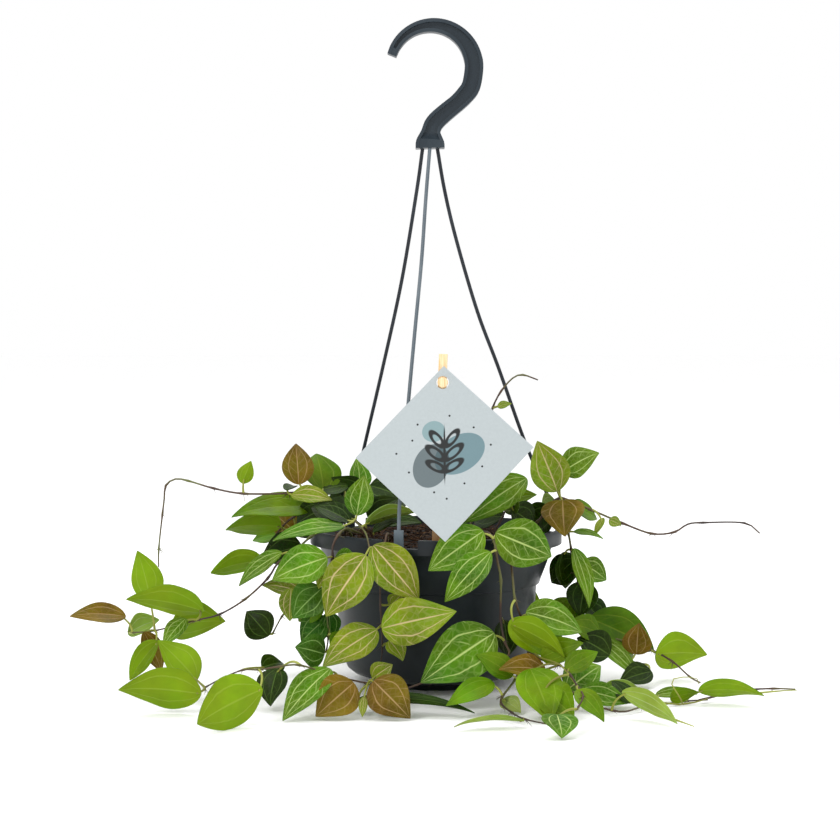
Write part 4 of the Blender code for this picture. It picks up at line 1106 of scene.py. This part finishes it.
def addLeaf(leaf, towards, draw):
    base, tip, width, turn, kind = leaf
    base = Vector(base)
    length, axis, side, normal = leafAxes(base, tip, turn, towards)
    twist = draw.uniform(-1, 1) * leafForm["twist"]
    phase, waves = draw.uniform(0, math.tau), draw.uniform(1.2, 2.2)
    made = leafModel.copy()
    made.data = leafModel.data.copy()
    bpy.context.scene.collection.objects.link(made)
    tint, veinTint, amount = leafKinds[kind]
    shade = draw.uniform(*leafForm["shade"])
    (rounding, depth), (ribs, lean) = leafForm["crease"], leafForm["ribs"]
    bladeColour = [min(1.0, channel * shade) for channel in linear(tint)[:3]] + [1.0]
    veinColour = [*linear(veinTint)[:3], amount * draw.uniform(0.85, 1.0)]
    for vert, (along, across) in zip(made.data.vertices, leafPlaces):
        inside = 0.0005 < along < 0.9995
        full = math.sin(math.pi * along ** leafForm["pull"]) ** leafForm["fullness"] if inside else 0.0
        half = full * (1 - leafForm["narrowing"] * along ** 5) * width / 2
        off = abs(across)
        rise = leafForm["fold"] * half * (math.sqrt(off * off + rounding) - depth)
        rise += leafForm["bow"] * length * 4 * along * (1 - along)
        field = math.sin(math.pi * (off / 0.5 if off < 0.5 else (off - 0.5) / 0.5)) ** 2
        beat = 0.7 + 0.3 * math.cos(math.tau * (ribs * along - lean * off))
        rise += leafForm["pillow"] * half * 2 * field * beat
        rise += leafForm["wave"] * half * 2 * off * off * math.sin(math.tau * waves * along + phase)
        rise -= leafForm["tipDrop"] * length * along ** 5 if inside or along > 0.5 else 0.0
        angle = twist * (along - 0.25) * 2
        turnedSide = side * math.cos(angle) + normal * math.sin(angle)
        turnedNormal = normal * math.cos(angle) - side * math.sin(angle)
        vert.co = (base + axis * length * along + turnedSide * half * across + turnedNormal * rise) * mm
    for name, colour in (("bladeColour", bladeColour), ("veinColour", veinColour)):
        for place in made.data.attributes[name].data:
            place.color = colour
    return made


def stalkTube(joint, base, axis):
    # The stalk leaves the stem, bends, and runs a little way into the blade
    inner = base + axis * stemForm["stalkInto"]
    away = (base - joint).length
    bend = (joint + base) / 2 - axis * away * stemForm["stalkSag"]
    bend.z += away * stemForm["stalkRise"]
    count = max(4, round((inner - joint).length / 2))
    thick, taper = stemForm["stalkTaper"]
    return [(joint.lerp(bend, t).lerp(bend.lerp(inner, t), t), stemForm["stalkRadius"] * (thick - taper * t))
            for t in (index / count for index in range(count + 1))]


def leafyPiece(node, runs, leaves, towards, seed):
    draw = random.Random(seed)
    coarse = [smoothRoute(run, stemForm["coarseStep"]) for run in runs]
    sheets, stalks, tubes, joints = [], [], [], []
    for leaf in leaves:
        base = Vector(leaf[0])
        _, axis, _, _ = leafAxes(base, leaf[1], leaf[3], towards)
        joint = min((point for route in coarse for point in route[1:]),
                    key=lambda point: (point - base).length)
        joints.append(joint)
        sheets.append(addLeaf(leaf, towards, draw))
        stalks.append(stalkTube(joint, base, axis))
    for run in runs:
        for point in smoothRoute(run, stemForm["bareNodes"])[2:-1]:
            if min((point - joint).length for joint in joints) > stemForm["nodeGap"]:
                joints.append(point)
    for run in runs:
        route = smoothRoute(run, stemForm["step"])
        tube = []
        for number, point in enumerate(route):
            near = min((point - joint).length for joint in joints)
            swell = 1 + stemForm["nodeSwell"] * math.exp(-(near / stemForm["nodeLength"]) ** 2)
            slim = 1 - (1 - stemForm["tipShare"]) * number / len(route)
            tube.append((point, stemForm["radius"] * slim * swell))
        tubes.append(tube)
    (top, within), (sway, droop) = stemForm["potTop"], stemForm["rootletDroop"]
    for joint in joints:
        for _ in range(draw.randint(1, stemForm["rootlets"])):
            if joint.z > top and joint.xy.length < within:
                continue
            aim = Vector((draw.gauss(0, 1), draw.gauss(0, 1), draw.uniform(-1.2, 0.3))).normalized()
            reach = draw.uniform(*stemForm["rootletLength"])
            fall = Vector((draw.uniform(-sway, sway), draw.uniform(-sway, sway), -droop)) * reach
            points = [joint + aim * reach * t + fall * t * t for t in (0, 0.35, 0.7, 1.0)]
            if min(point.z for point in points) > 0.5:
                tubes.append(list(zip(points, stemForm["rootletRadii"])))
    blades = joinPieces(sheets[0], sheets[1:])
    blades.name = blades.data.name = node + "Grown"
    bpy.ops.object.mode_set(mode="EDIT")
    bpy.ops.mesh.select_all(action="SELECT")
    bpy.ops.mesh.remove_doubles(threshold=0.0000005)
    bpy.ops.object.mode_set(mode="OBJECT")
    for made in (upperSkin, lowerSkin):
        blades.data.materials.append(made)
    applyModifier(blades, "SOLIDIFY", {"thickness": leafForm["thickness"] * mm, "offset": 0.0,
                                       "material_offset": 1, "material_offset_rim": 0})
    bark = addTubes(node + "Bark", tubes)
    bark.data.materials.append(stemBark)
    for shoot in youngShoots.get(node, []):
        route = smoothRoute(shoot, stemForm["step"])
        stalks.append([(point, stemForm["stalkRadius"] * (1 - stemForm["shootTaper"] * number / len(route)))
                       for number, point in enumerate(route)])
    fresh = addTubes(node + "Stalks", stalks)
    fresh.data.materials.append(stalkSkin)
    joinPieces(blades, [bark, fresh])
    bpy.ops.object.shade_smooth_by_angle(angle=math.radians(60))
    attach(blades, "root")
    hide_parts(node)
    return blades


def rise(root):
    return [(*root, stemForm["holeBottom"]), (*root, stemForm["holeTop"])]


for number, (node, (root, runs, leaves)) in enumerate(stems.items()):
    leaves = leaves + fillLeaves.get(node, [])
    leafyPiece(node, [rise(root) + runs[0], *runs[1:]], leaves, (0, -1, 0), leafForm["seed"] + number)
print("stems in front")

backDraw = random.Random(backStems["seed"])
backRuns, backLeaves = [], []
for angle, reach in backStems["stems"]:
    out = Vector((math.sin(math.radians(angle)), math.cos(math.radians(angle)), 0))
    side = Vector((out.y, -out.x, 0))
    run = [tuple(out * radius + Vector((0, 0, height))) for radius, height in backStems["path"]]
    run.append((*(out * reach).xy, backStems["endHeight"]))
    for (radius, height), slope in zip(backStems["leaves"], backStems["slopes"]):
        for way in (-1, 1):
            length = backDraw.uniform(*backStems["leafLength"])
            fall = backDraw.uniform(*slope)
            aim = side * way * backStems["spread"] + out * backDraw.uniform(*backStems["outward"])
            aim.z = fall
            base = out * (radius + 1) + side * way * backStems["stalk"] + Vector((0, 0, height))
            kind = backStems["kinds"][len(backLeaves) % len(backStems["kinds"])]
            tip = base + aim.normalized() * length
            backLeaves.append((base, tip, length * backStems["leafShape"], backStems["turn"], kind))
    backRuns.append(rise((out.x * backStems["root"], out.y * backStems["root"])) + run)
leafyPiece("stems_back", backRuns, backLeaves, (0, 1, 0), leafForm["seed"] + 90)
bpy.data.objects.remove(leafModel)
print("stems behind")
